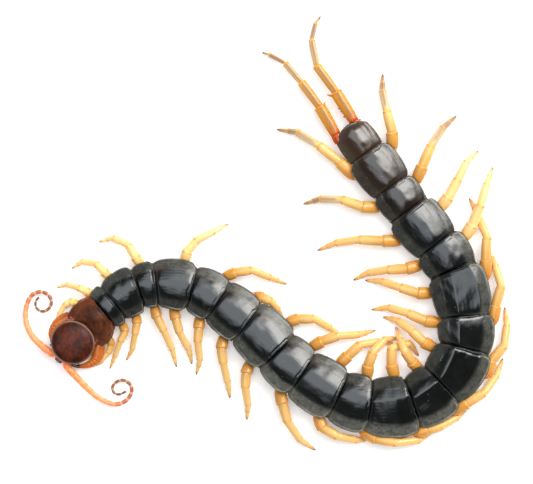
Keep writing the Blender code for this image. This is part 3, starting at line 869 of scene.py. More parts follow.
@dataclass(frozen=True)
class HeadFinish:
    """Deep red-brown horn, mottled darker, with a grey translucent rim, which on the head also
    carries a painted highlight line.
    """

    name: str
    deep: Colour
    warm: Colour
    rim: Colour

    def material(self) -> bpy.types.Material:
        """Builds the material from the points' values: edge, the translucent rim with the head's
        painted highlight line, and flange.

        Returns:
            The material.
        """
        graph = Graph(self.name)
        place = graph.place()
        rim, flange = graph.value("edge"), graph.value("flange")
        cloud = graph.noise(place, 0.32, 5.0, 0.62)
        mottle = graph.noise(place, 1.3, 4.0, 0.6)
        colour = graph.mix(graph.ramp(cloud, (0.36, 0.0), (0.62, 1.0)), self.deep, self.warm)
        colour = graph.mix(graph.ramp(mottle, (0.42, 0.0), (0.7, 0.6)), colour, self.deep)
        colour = graph.mix(graph.times(flange, 0.6), colour, self.warm)
        # The rim colour is the translucent rim, and on the head also a painted highlight line along
        # the rear rim.
        colour = graph.mix(rim, colour, self.rim)
        pores = graph.ramp(graph.pits(place, 2.6), (0.05, 0.0), (0.22, 1.0))
        normal = graph.bump(graph.noise(place, 0.9, 4.0, 0.6), 0.045)
        normal = graph.bump(pores, 0.010, normal)
        rough = graph.ramp(mottle, (0.3, 0.32), (0.7, 0.46))
        graph.set(Base_Color=colour, Roughness=rough, Normal=normal, Coat_Weight=0.03,
                  Coat_Roughness=0.2, Specular_IOR_Level=0.14, Subsurface_Weight=0.15,
                  Subsurface_Radius=(1.0, 0.3, 0.15), Subsurface_Scale=0.6 * MM)
        return graph.material


PLATE_BLACK = PlateFinish("plate_black", tint(6, 7, 7), tint(16, 18, 18), tint(92, 91, 82),
                          tint(156, 146, 120))
PLATE_BROWN = PlateFinish("plate_brown", tint(6, 7, 7), tint(18, 18, 17), tint(74, 70, 62),
                          tint(160, 142, 112), warm=tint(54, 38, 26))
PLATE_FIRST = HeadFinish("plate_first", tint(50, 22, 12), tint(102, 54, 30), tint(140, 90, 62))
HEAD_HORN = HeadFinish("head_horn", tint(38, 13, 5), tint(92, 34, 14), tint(140, 118, 100))
SIDE_SKIN = SkinFinish("side_skin", tint(24, 20, 18), tint(70, 58, 46))
NECK_SKIN = SkinFinish("neck_skin", tint(96, 34, 24), tint(176, 84, 58), glow=0.25, depth=0.12)
BELLY_HORN = SkinFinish("belly_horn", tint(96, 66, 36), tint(150, 108, 60), dull=0.36, depth=0.06)
FORCIPULE_HORN = HornFinish(
    "forcipule_horn",
    colours_along((0.0, 138, 64, 26), (0.25, 180, 96, 29), (0.7, 190, 103, 30),
                  (0.92, 168, 83, 27), (1.0, 60, 26, 14)),
    tint(160, 72, 26), joint_share=0.3,
)
ANTENNA_HORN = HornFinish(
    "antenna_horn",
    colours_along((0.0, 244, 128, 66), (0.2, 252, 158, 98), (0.42, 250, 158, 104),
                  (0.52, 222, 132, 92), (0.64, 178, 112, 78), (0.85, 140, 94, 62),
                  (1.0, 110, 76, 52)),
    tint(112, 62, 38), joint_share=0.45, ring=tint(250, 206, 164), ring_share=0.6,
)
# The pale, middle and deep runs are one leg colour painted lighter or darker: painted light on the
# legs in full light and painted shade on the legs that the body shades. The rear run is the last
# walking pairs' own colour.
LEG_RUNS_LIT_SHADED_AND_REAR = {
    "pale": colours_along((0.0, 246, 188, 104), (0.16, 251, 210, 142), (0.4, 250, 198, 128),
                          (0.6, 252, 210, 150), (0.85, 250, 217, 154), (1.0, 230, 180, 108)),
    "deep": colours_along((0.0, 186, 124, 48), (0.16, 184, 137, 68), (0.26, 205, 160, 90),
                          (0.4, 214, 173, 107), (0.6, 222, 184, 123), (0.85, 216, 178, 112),
                          (1.0, 194, 138, 76)),
    "middle": colours_along((0.0, 204, 134, 50), (0.16, 206, 152, 72), (0.4, 233, 184, 112),
                            (0.6, 236, 183, 114), (0.85, 220, 176, 110), (1.0, 198, 142, 78)),
    "rear": colours_along((0.0, 206, 134, 52), (0.16, 212, 160, 80), (0.38, 238, 192, 118),
                          (0.40, 232, 182, 96), (0.43, 220, 188, 140), (0.56, 208, 178, 138),
                          (0.60, 226, 174, 92), (0.63, 184, 153, 118), (0.77, 174, 145, 112),
                          (0.80, 215, 168, 97), (0.85, 196, 158, 110), (1.0, 148, 117, 84)),
}
LEG_HORNS_LIT_SHADED_AND_REAR = {
    kind: HornFinish(f"leg_horn_{kind}", run, tint(214, 122, 34), core=tint(120, 88, 60),
                     core_start=0.42, core_share=0.5 if kind == "rear" else 0.0)
    for kind, run in LEG_RUNS_LIT_SHADED_AND_REAR.items()
}
LAST_LEG_HORN = HornFinish(
    "last_leg_horn",
    colours_along((0.0, 170, 56, 14), (0.02, 200, 112, 30), (0.07, 204, 136, 42),
                  (0.20, 218, 152, 46), (0.225, 206, 146, 66), (0.37, 210, 158, 84),
                  (0.40, 232, 174, 66), (0.425, 208, 172, 120), (0.57, 204, 170, 124),
                  (0.60, 232, 182, 90), (0.625, 180, 146, 112), (0.775, 176, 140, 106),
                  (0.80, 232, 184, 100), (0.85, 216, 180, 126), (1.0, 190, 150, 98)),
    tint(214, 120, 34), joint_share=0.12, core=tint(112, 66, 30), core_share=0.55,
)
CLAW_HORN = PointFinish("claw_horn", tint(128, 76, 36), tint(34, 20, 14))
FANG_HORN = PointFinish("fang_horn", tint(60, 22, 12), tint(10, 8, 8), dull=0.1)
SPINE_HORN = PointFinish("spine_horn", tint(214, 128, 40), tint(120, 54, 24))
EYE_GLASS = PointFinish("eye_glass", tint(16, 10, 8), tint(10, 8, 8), dull=0.05)


Finish = PlateFinish | HornFinish | SkinFinish | PointFinish | HeadFinish


@cache
def material_of(finish: Finish) -> bpy.types.Material:
    """The material of a finish, built once."""
    return finish.material()


def show(
    name: str, surface: Surface, finish: Finish, slot: Slot, nodes: tuple[str, ...] = ()
) -> None:
    """Makes a piece of a surface and puts it in the model.

    Args:
        name: The piece's name.
        surface: Its shape in mm.
        finish: Its finish.
        slot: The record's slot; not used.
        nodes: The solids that it stands for.
    """
    quads, triangles = surface.quads, surface.triangles
    corners = np.concatenate([quads.ravel(), triangles.ravel()]).astype(np.int32)
    sizes = np.concatenate([np.full(len(quads), 4), np.full(len(triangles), 3)]).astype(np.int32)
    starts = np.concatenate([[0], np.cumsum(sizes)[:-1]]).astype(np.int32)
    mesh = bpy.data.meshes.new(name)
    mesh.vertices.add(len(surface.points))
    mesh.vertices.foreach_set("co", (surface.points * MM).ravel())
    mesh.loops.add(len(corners))
    mesh.loops.foreach_set("vertex_index", corners)
    mesh.polygons.add(len(sizes))
    mesh.polygons.foreach_set("loop_start", starts)
    mesh.update(calc_edges=True)
    mesh.validate()
    for key, value in surface.values.items():
        kind, slot_name = ("FLOAT", "value") if value.ndim == 1 else ("FLOAT_VECTOR", "vector")
        mesh.attributes.new(key, kind, "POINT").data.foreach_set(slot_name, value.ravel())
    mesh.shade_smooth()
    mesh.set_sharp_from_angle(angle=math.radians(CRISP_EDGE))
    piece = bpy.data.objects.new(name, mesh)
    bpy.context.scene.collection.objects.link(piece)
    mesh.materials.append(material_of(finish))
    if nodes:
        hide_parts(*nodes)
    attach(piece, "root")
    LOG.info("%s: %d points, %d faces, %s", name, len(surface.points), len(sizes), finish.name)


# The body


@dataclass
class BackPlates:
    """The 21 plates of the back, each tucked in under the one before it."""

    thickness: float = 0.30
    tuck: float = 0.55
    overhang: float = 0.12
    crease: float = 0.58
    lip: Ridge = Ridge(0.16, 0.24, 0.17)
    lip_groove: Ridge = Ridge(-0.07, 0.75, 0.24)
    rim: Ridge = Ridge(0.08, 0.50, 0.15)
    rim_groove: Ridge = Ridge(-0.04, 0.95, 0.26)
    slant: Ridge = Ridge(-0.07, 0.0, 0.6)
    head_grooves: tuple[Ridge, ...] = (Ridge(-0.10, 0.62, 0.13), Ridge(-0.08, 1.25, 0.16))
    collar: float = 5.55
    shoulder: float = 0.70
    rounding: float = 0.05
    # By plate: the crest's share of the half width at the front and at the rear, and the power and
    # the mean slope of the arch on the left and on the right.
    ridges: dict[int, tuple] = field(default_factory=lambda: {
        3: (-0.08, -0.08, (1.6, 0.24), (1.8, 0.23)), 4: (-0.04, -0.04, (1.6, 0.24), (1.8, 0.23)),
        10: (-0.04, -0.04, (1.5, 0.27), (1.8, 0.23)), 11: (-0.08, -0.12, (1.3, 0.28), (1.8, 0.23)),
        12: (-0.16, -0.34, (1.12, 0.26), (1.3, 0.30)),
        13: (-0.22, -0.23, (1.1, 0.27), (1.25, 0.36)),
        14: (-0.22, -0.37, (1.1, 0.26), (1.2, 0.40)), 15: (-0.27, -0.24, (1.15, 0.26), (1.2, 0.38)),
        16: (-0.24, -0.15, (1.2, 0.045), (1.15, 0.36)), 17: (0.06, 0.06, (1.8, 0.24), (1.6, 0.26)),
        18: (0.0, 0.0, (1.7, 0.29), (1.6, 0.29)), 19: (0.0, 0.0, (1.8, 0.26), (1.7, 0.26)),
        20: (0.0, 0.0, (1.8, 0.28), (1.6, 0.28)), 21: (0.0, 0.0, (1.8, 0.30), (1.6, 0.30)),
    })
    # By plate: how deep the corners are rounded off at the front and at the rear, mm.
    roundness: dict[int, tuple[float, float]] = field(default_factory=lambda: {
        2: (0.9, 1.0), 3: (0.9, 1.2), 4: (0.9, 1.2), 12: (0.7, 0.8), 13: (0.6, 0.7), 14: (0.6, 0.8),
        18: (1.1, 1.5), 19: (1.4, 1.8), 20: (1.5, 2.5), 21: (1.0, 0.0),
    })
    # By plate: how worn the left and the right flange are, from 0 to 1.
    wear: dict[int, tuple[float, float]] = field(default_factory=lambda: {
        1: (0.5, 0.5), 2: (0.3, 0.5), 3: (0.2, 0.4), 4: (0.2, 0.4), 5: (0.3, 0.5), 6: (0.35, 0.8),
        7: (0.4, 0.8), 8: (0.8, 0.8), 9: (1.0, 0.7), 10: (1.0, 0.6), 11: (1.0, 0.5),
        12: (1.0, 0.35), 13: (0.9, 0.3), 14: (0.6, 0.3), 15: (0.55, 0.3), 16: (0.55, 0.3),
        17: (0.5, 0.35),
    })
    # By plate: how brown it is, from 0 to 1.
    warmth: dict[int, float] = field(default_factory=lambda: {19: 0.25, 20: 0.5, 21: 1.0})

    def rear_height(self, number: int) -> float:
        """Height of a plate's rear edge."""
        return segment_size(number)[3] * profile_of(number)[-1][2]

    def section(self, v: Array, place: Array, number: int) -> Array:
        """Height share across a plate, by the share of its half width.

        The arch falls from its crest to the crease on both sides, by a mean slope, as a power of
        the distance that is sharper at the crest when it is low. The crest may wander from the
        front to the rear. Past the crease the flange slopes evenly, and its rim turns down along
        a parabola.

        Args:
            v: Share of the half width, from -1 on the right to 1 on the left.
            place: Share of the plate's length.
            number: The plate's number from the head.

        Returns:
            The share of the plate's height at each place.
        """
        usual = (0.0, 0.0, (1.8, 0.233), (1.8, 0.233))
        front, rear, left, right = self.ridges.get(number, usual)
        crest = front + (rear - front) * np.clip(place, 0.0, 1.0)
        arch, side = 1.0 + 0 * (v + crest), np.abs(v)
        for sign, (power, slope) in ((1.0, left), (-1.0, right)):
            reach = self.crease - sign * crest
            inside = np.clip(sign * (v - crest) / reach, 0.0, 1.0)
            outside = np.clip((side - self.crease) / (0.95 - self.crease), 0.0, 1.0)
            outside = outside * (sign * v > 0)
            arch = arch - slope * reach * inside**power - 0.175 * outside**1.1
        turn = np.clip((side - 0.95) / 0.05, 0.0, 1.0)
        return arch - 0.13 * turn**2

    def across_shares(self) -> Array:
        """Places across a plate from -1 to 1, closest at its creases and rims."""
        runs = (0.0, 0.53, 20), (0.55, 0.625, 7), (0.66, 0.86, 7), (0.88, 1.0, 13)
        half = np.concatenate([np.linspace(*run) for run in runs])
        return np.concatenate([-half[:0:-1], half])

    def grid(self, number: int) -> tuple[Array, Array, Array, Array, Array]:
        """The grid that a plate is laid on.

        Its corners are rounded by quarter ellipses. The first plate's front follows the head's
        round rear, and the last plate's rear is bowed.

        Args:
            number: The plate's number from the head.

        Returns:
            Distance along the back, share of the half width across, share of the length along,
            half width and distance to the rear edge, each over the grid.
        """
        start, length, half_width, _ = segment_size(number)
        v = self.across_shares()[None, :]
        round_off = np.clip((np.abs(v) - 0.62) / 0.38, 0.0, 1.0)
        corner = 1.0 - np.sqrt(np.clip(1.0 - round_off**2, 0.0, 1.0))
        at_front, at_rear = self.roundness.get(number, (1.1, 1.7))
        rear = start + length + self.overhang - at_rear * corner
        front = start - self.tuck + at_front * corner
        if number == 1:
            round_head = np.sqrt(np.clip(self.collar**2 - (v * half_width) ** 2, 0.0, None))
            bend = np.clip((np.abs(v) - self.shoulder) / (1 - self.shoulder), 0.0, 1.0)
            turned = HEAD_LENGTH / 2 + math.sqrt(self.collar**2 - (self.shoulder * half_width) ** 2)
            turned = turned + 2.0 * (1.0 - np.sqrt(np.clip(1.0 - bend**2, 0.0, 1.0)))
            front = np.where(np.abs(v) < self.shoulder, HEAD_LENGTH / 2 + round_head, turned)
        rear = rear + ripples(v * half_width, 0 * v, 500 + number, (1.2, 3.5), 0.05)
        if number == LAST:
            bow = 1.0 - np.sqrt(np.clip(1.0 - 0.98 * v**2, 0.0, 1.0))
            rear = start + length - 2.8 * bow
        near = 1.1 / length
        u = np.concatenate([
            np.linspace(0.0, near, 8)[:-1], np.linspace(near, 1 - near, 26)[:-1],
            np.linspace(1 - near, 1.0, 17),
        ])[:, None]
        s = front + u * (rear - front)
        place = (s - start) / length
        width = half_width * smooth_between(place, profile_of(number), 1)
        return s, np.broadcast_to(v, s.shape), place, width, rear - s

    def surface(self, number: int) -> Surface:
        """One plate: its smooth shape, the details laid on it, and a wall under it.

        The height is the section's share of the plate's height at that place. The front dips
        under the plate before. The details are a rolled rear lip with a groove before it, a rim
        bead with a groove inside it, a slanting groove on each flange, two grooves round the head
        on the first plate, and gentle ripples.

        Args:
            number: The plate's number from the head.

        Returns:
            The closed plate, with the values that its finish reads.
        """
        _, length, _, height = segment_size(number)
        s, v, place, width, to_rear = self.grid(number)
        tall = height * smooth_between(place, profile_of(number), 2)
        if number > 1:
            low = self.rear_height(number - 1) - self.thickness - 0.12
            dip = 1 - ease((place * length + 0.25) / 0.9)
            tall = tall + dip * (np.minimum(low, 0.93 * tall) - tall)
        smooth = tall * self.section(v, place, number)
        from_head = np.hypot(s - HEAD_LENGTH / 2, v * width) - HEAD_LENGTH / 2
        if number == 1:
            room = 4.42 + 1.5 * np.clip(from_head, 0.0, None) ** 0.8
            smooth = -0.12 * np.logaddexp(-smooth / 0.12, -room / 0.12)
        side = np.abs(v)
        to_side = (1 - side) * width
        inner = ease((0.66 - side) / 0.12)
        to_left = ease((v + 0.3) / 0.6)
        detail = self.lip.over(to_rear) * (0.35 + 0.65 * inner)
        detail += self.lip_groove.over(to_rear) * inner
        bead = self.rim.over(to_side) + self.rim_groove.over(to_side)
        detail += bead * (0.35 + 0.65 * to_left) - 0.10 * ease((0.5 - to_side) / 0.4)
        slant = side - (0.66 + 0.22 * np.clip(place, 0, 1))
        detail += self.slant.over(slant * width) * ease((0.75 - place) / 0.4)
        if number == 1:
            rings = sum(groove.over(from_head) for groove in self.head_grooves)
            detail += rings * ease((0.95 - side) / 0.2)
        detail += ripples(v * width, s, 100 + number, (2.4, 7.0), 0.035)
        detail += ripples(v * width * 1.6, s * 0.6, 300 + number, (0.9, 2.0), 0.006)
        roll = np.clip(1 - to_rear / 0.16, 0.0, 1.0) ** 2 * 0.10
        out = v * width
        if number == 1:
            out = out + 0.8 * np.clip(-v, 0.0, 1.0) ** 2 * ease((s - 18.0) / -3.0)
        base = BACK.at(s, out, smooth)
        top = BACK.at(s, out, smooth + detail - roll)
        wall = self.thickness * (0.45 + 0.55 * ease(np.minimum(to_rear, to_side) / 0.5))
        bottom = base - wall[..., None] * normals_of(base)
        rim_side = bump_at(to_side, 0.50, 0.09) * ease((to_rear - 0.35) / 0.3)
        rim_rear = bump_at(to_rear, 0.50, 0.09) * ease((side - 0.66) / 0.12)
        rim_rear = rim_rear * ease((to_side - 0.4) / 0.3)
        edge = np.maximum(rim_side * ease((place - 0.3) / 0.3), rim_rear) * to_left
        left, right = self.wear.get(number, (0.4, 0.4))
        patch = bump_at(place, 0.14, 0.20) * bump_at(v, -0.66, 0.2) * (5 <= number <= 10)
        values = {
            "lie": np.stack([out, s, 0 * s], axis=-1),
            "flange": ease((side - self.crease + 0.08) / 0.2) * np.where(v > 0, left, right),
            "edge": edge,
            "warm": np.maximum(self.warmth.get(number, 0.0), patch),
            "seam": 1 - ease((place * length - 0.05) / 0.35) + 0 * v,
        }
        return thick_sheet(top, bottom, self.rounding, values)

    def build(self) -> None:
        """Shows all the plates, the first and the last three in finishes of their own."""
        looks = {1: (PLATE_FIRST, Slot.COLLAR)}
        looks |= {number: (PLATE_BROWN, Slot.TAIL) for number in range(LAST - 2, LAST + 1)}
        for number in range(1, LAST + 1):
            look = looks.get(number, (PLATE_BLACK, Slot.TRUNK))
            show(f"back_plate_{number:02d}", self.surface(number), *look)


@dataclass
class SideSkin:
    """The soft skin of the sides, in lobes that fill the notches between the plates."""

    # Place round half a section from its top, share of the half width and share of the height.
    across: Knots = (
        (0.0, 0.0, 0.80), (0.16, 0.52, 0.72), (0.27, 0.86, 0.56), (0.33, 0.955, 0.47),
        (0.39, 0.93, 0.39), (0.44, 0.86, 0.33), (0.49, 0.88, 0.26), (0.55, 0.80, 0.17),
        (0.62, 0.66, 0.09), (0.70, 0.50, 0.045), (0.85, 0.25, 0.03), (1.0, 0.0, 0.03),
    )
    columns: int = 40
    spacing: float = 0.22
    fold: float = 0.10
    neck_span: tuple[float, float] = (7.6, 12.4)
    neck_half: float = 5.15
    neck_level: float = 2.35
    neck_tall: float = 2.0

    def envelope(self, s: Array) -> tuple[Array, Array, Array]:
        """Half width, height and nearness to a seam between segments along the back.

        The width and the height pass smoothly through each segment's own, and dip at the seams.

        Args:
            s: Distances along the back, mm.

        Returns:
            Half width in mm, height in mm and a bell of height 1 round each seam.
        """
        knots = []
        for number in range(1, LAST + 1):
            start, length, half_width, height = segment_size(number)
            before = segment_size(max(number - 1, 1))
            width = (half_width + before[2]) / 2
            knots.append((start, 0.91 * width, 0.80 * min(height, before[3])))
            knots.append((start + 0.5 * length, 0.93 * half_width, 0.90 * height))
        knots.append((float(PLATE_ENDS[-1]), 0.74 * half_width, 0.72 * height))
        table = tuple(knots)
        seam = np.abs(s[:, None] - PLATE_ENDS[None, :]).min(axis=1)
        return smooth_between(s, table, 1), smooth_between(s, table, 2), bump_at(seam, 0.0, 0.55)

    def surface(self, first: int, last: int) -> Surface:
        """The skin of the segments from first to last, closed at both ends.

        A ring follows the section's knots; it is pushed out and in by folds that run along the
        body, by cross folds near each seam, and by ripples.

        Args:
            first: The first segment's number.
            last: The last segment's number.

        Returns:
            The closed skin.
        """
        start = float(PLATE_ENDS[first - 1]) + (0.0 if first > 1 else 0.5)
        end = float(PLATE_ENDS[last]) - (0.0 if last < LAST else 0.5)
        s = np.linspace(start, end, max(int((end - start) / self.spacing), 8))
        width, height, seam = self.envelope(s)
        w = np.linspace(0.0, 1.0, self.columns)
        out, up = smooth_between(w, self.across, 1), smooth_between(w, self.across, 2)
        share = np.concatenate([out, -out[-2:0:-1]])
        lift = np.concatenate([up, up[-2:0:-1]])
        turn = np.concatenate([w, w[-2:0:-1]])
        side = bump_at(turn, 0.40, 0.13)
        push = self.fold * side * np.sin(turn * 62.0) - 0.26 * seam[:, None] * side
        along = s[:, None] + 0 * push
        push = push + side * ripples(along * 1.5, turn[None, :] * 14, 40 + first, (1.2, 4.0), 0.09)
        shrink = 0.93 + 0.07 * ease(np.minimum(s - start, end - s) / 0.25)[:, None]
        out = share * width[:, None] * shrink + np.sign(share) * push
        up = np.maximum(lift * height[:, None] * shrink + 0.25 * push, 0.12)
        poles = [BACK.at(place, 0.0, 0.4 * tall)
                 for place, tall in ((start - 0.02, height[0]), (end + 0.02, height[-1]))]
        return closed_rings(BACK.at(along, out, up), *poles, {})

    def neck(self) -> Surface:
        """The short neck between the head and the first plate, a flattened oval in section."""
        s = np.linspace(*self.neck_span, 28)[:, None]
        c, d = boxed(circle(64)[None, :], 0.6)
        out = (self.neck_half + 0.3 * ease((s - 9.0) / 2.0)) * c
        up = self.neck_level + self.neck_tall * d
        up = up + 0.10 * np.sin(s * 7.0) * (d > 0) + ripples(out, s, 21, (1.0, 3.0), 0.04)
        near, far = self.neck_span
        poles = [BACK.at(place, 0.0, self.neck_level) for place in (near - 0.1, far + 0.1)]
        return closed_rings(BACK.at(s + 0 * out, out, up), *poles, {})

    def build(self) -> None:
        """Shows the skin of each body length and the neck."""
        show("neck", self.neck(), NECK_SKIN, Slot.MEMBRANE)
        for numbers in BODY_LENGTHS:
            tag = "_".join(f"{number:02d}" for number in numbers)
            finish = NECK_SKIN if numbers[0] == 1 else SIDE_SKIN
            show(f"side_skin_{tag}", self.surface(numbers[0], numbers[-1]), finish, Slot.MEMBRANE,
                 (f"segment_{tag}",))


@dataclass
class BellyPlates:
    """The 21 flat plates of the belly, which rest on the floor."""

    share: float = 0.50
    thickness: float = 0.34
    gap: float = 0.32

    def surface(self, number: int) -> Surface:
        """One belly plate: a flat sheet with rounded corners and two grooves along it.

        Args:
            number: The plate's number from the head.

        Returns:
            The closed plate.
        """
        start, length, half_width, _ = segment_size(number)
        v = np.linspace(-1, 1, 45)[None, :]
        corner = 1.0 - np.sqrt(1.0 - np.clip((np.abs(v) - 0.7) / 0.3, 0.0, 1.0) ** 2)
        front = start + self.gap + 0.9 * corner
        rear = start + length - self.gap - 1.2 * corner
        u = np.linspace(0, 1, 28)[:, None]
        s = front + u * (rear - front)
        width = self.share * half_width * (0.92 + 0.08 * np.sin(np.pi * u))
        if number == LAST:
            width = width * (1 - 0.35 * u)
        out = v * width
        to_edge = np.minimum(np.minimum(s - front, rear - s), (1 - np.abs(v)) * width)
        lift = 0.22 * (1 - ease(to_edge / 0.7))
        groove = 0.10 * bump_at((np.abs(v) - 0.42) * width, 0.0, 0.13)
        low = BACK.at(s, out, lift + groove)
        high = BACK.at(s, out, self.thickness + 0.6 * lift)
        return thick_sheet(high, low, 0.06, {})

    def build(self) -> None:
        """Shows all the belly plates."""
        for number in range(1, LAST + 1):
            show(f"belly_plate_{number:02d}", self.surface(number), BELLY_HORN, Slot.UNDERSIDE)


@dataclass
class Spiracles:
    """Breathing holes on the flanks: an oval ring with a dark slit, on nine segments."""

    numbers: tuple[int, ...] = (3, 5, 8, 10, 12, 14, 16, 18, 20)
    place: float = 0.80
    size: tuple[float, float] = (0.62, 0.36)

    def ring(self, side: Side, number: int) -> Surface:
        """One ring: a small circle carried round an oval on the flank.

        Args:
            side: The side of the animal.
            number: The segment's number from the head.

        Returns:
            The closed ring.
        """
        start, length, _, height = segment_size(number)
        s = start + self.place * length
        skin_width = float(SideSkin().envelope(np.array([s]))[0][0])
        turn, around = circle(20), circle(10)
        reach = 1 + 0.28 * np.cos(around)[None, :]
        along = s + self.size[0] * np.cos(turn)[:, None] * reach
        up = 0.40 * height + self.size[1] * np.sin(turn)[:, None] * reach
        out = side.sign * (skin_width * 0.92 + 0.14 * np.sin(around)[None, :] + 0 * up)
        index = np.arange(up.size).reshape(up.shape)
        index = wrapped(np.concatenate([index, index[:1]]))
        points = BACK.at(along, out, up).reshape(-1, 3)
        return Surface(points, cells(index), NO_TRIANGLES).outward()

    def build(self) -> None:
        """Shows the rings of each side."""
        for side in Side:
            rings = [self.ring(side, number) for number in self.numbers]
            show(f"spiracles_{side.word}", Surface.joined(rings), SPINE_HORN, Slot.MEMBRANE)


# The head


@dataclass
class HeadPlate:
    """The round shield of the head with its ocelli."""

    rim_height: float = 4.95
    dome: float = 1.75
    under: float = 4.5
    rim_groove: Ridge = Ridge(-0.05, 0.62, 0.25)
    rim_bead: Ridge = Ridge(0.03, 0.24, 0.18)
    furrow: Ridge = Ridge(-0.12, 0.0, 0.35)
    # Share of the rim's radius, and how far under the rim the shield's lower side is there, mm.
    below: Knots = (
        (0.995, 0.16), (0.97, 0.24), (0.93, 0.30), (0.86, 0.36), (0.7, 0.45), (0.45, 0.45),
        (0.2, 0.45), (0.03, 0.45),
    )
    # Place ahead of the head's middle, half width and lower height of the face, mm.
    face_rows: Knots = (
        (-2.2, 2.6, 3.9), (-1.6, 3.4, 3.55), (0.2, 4.0, 3.35), (2.0, 4.0, 3.3), (3.4, 3.5, 3.35),
        (4.3, 2.7, 3.6), (4.75, 2.0, 3.9),
    )
    face_top: float = 4.75
    ocellus_radius: float = 0.36
    ocelli: Knots = ((3.0, 4.25, 5.28), (3.75, 3.75, 5.28), (3.25, 4.6, 4.98), (4.05, 4.0, 4.98))

    def surface(self) -> Surface:
        """The shield: rings from its top, over the rim and in below.

        The top is the upper part of a flattened ball over the rim. A groove and a bead follow the
        rim, a shallow furrow runs along the middle of the front half, and ripples cover it.

        Returns:
            The closed shield, with the value that colours its translucent rim and paints a
            highlight line along its rear rim.
        """
        shares = np.concatenate([np.linspace(0.03, 0.80, 26), np.linspace(0.83, 1.0, 18)])
        turn = circle(120)[None, :]
        r = shares[:, None]
        flat = 1 - 0.035 * bump_at(turn, np.pi, 0.45)
        ahead = HEAD_LENGTH / 2 * r * np.cos(turn) * flat
        out = HEAD_WIDTH / 2 * r * np.sin(turn)
        up = self.rim_height + self.dome * np.sqrt(np.clip(1 - (0.985 * r) ** 2, 0, 1))
        to_rim = (1 - r) * HEAD_LENGTH / 2
        up = up + self.rim_groove.over(to_rim) + self.rim_bead.over(to_rim)
        up = up - 0.16 * np.clip(1 - to_rim / 0.14, 0, 1) ** 2
        up = up + self.furrow.over(out) * ease((ahead - 0.4) / 2.0) * ease(to_rim / 1.2)
        up = up + ripples(ahead, out, 7, (2.2, 6.5), 0.045)
        up = up + ripples(ahead, out, 8, (0.7, 1.6), 0.008)
        top = BACK.ahead(ahead, out, up)
        below_r, drop = (column[:, None] for column in np.array(self.below).T)
        below = BACK.ahead(
            HEAD_LENGTH / 2 * below_r * np.cos(turn) * flat,
            HEAD_WIDTH / 2 * below_r * np.sin(turn),
            self.rim_height - drop + 0 * turn,
        )
        rings = np.concatenate([top, below])
        to_rim = (1 - np.concatenate([r, below_r])) * HEAD_LENGTH / 2
        front = 0.5 + 0.5 * np.cos(turn)
        edge = bump_at(to_rim, 0.0, 0.30) * (0.4 + 0.6 * front)
        # A narrow line along the rear rim, in the rim's pale colour, is a painted highlight.
        edge = edge + bump_at(to_rim, 0.16, 0.07) * ease((0.3 - front) / 0.2)
        poles = [BACK.ahead(0.0, 0.0, up) for up in (self.rim_height + self.dome, self.under)]
        return closed_rings(rings, *poles, {"edge": edge})

    def face(self) -> Surface:
        """The front of the head under the shield: a rounded block with the roots of the feelers."""
        ahead, half, low = np.array(self.face_rows).T
        mid, tall = (self.face_top + low) / 2, (self.face_top - low) / 2
        c, d = boxed(circle(28)[None, :], 0.7)
        rings = BACK.ahead(ahead[:, None], half[:, None] * c, mid[:, None] + tall[:, None] * d)
        poles = [BACK.ahead(place, 0.0, 4.3) for place in (ahead[0] - 0.1, ahead[-1] + 0.1)]
        return closed_rings(rings, *poles, {})

    def build(self) -> None:
        """Shows the shield, the face and the ocelli."""
        show("head_plate", self.surface(), HEAD_HORN, Slot.HEAD, ("head",))
        show("face", self.face(), NECK_SKIN, Slot.HEAD)
        for side in Side:
            lenses = []
            for ahead, out, up in self.ocelli:
                centre = BACK.ahead(ahead, side.sign * out, up)
                axis = unit(np.append((centre - BACK.ahead(0, 0, up))[:2], 0.5 * out))
                lenses.append(lens(centre, axis, self.ocellus_radius, 0.3))
            show(f"ocelli_{side.word}", Surface.joined(lenses), EYE_GLASS, Slot.OCELLUS)


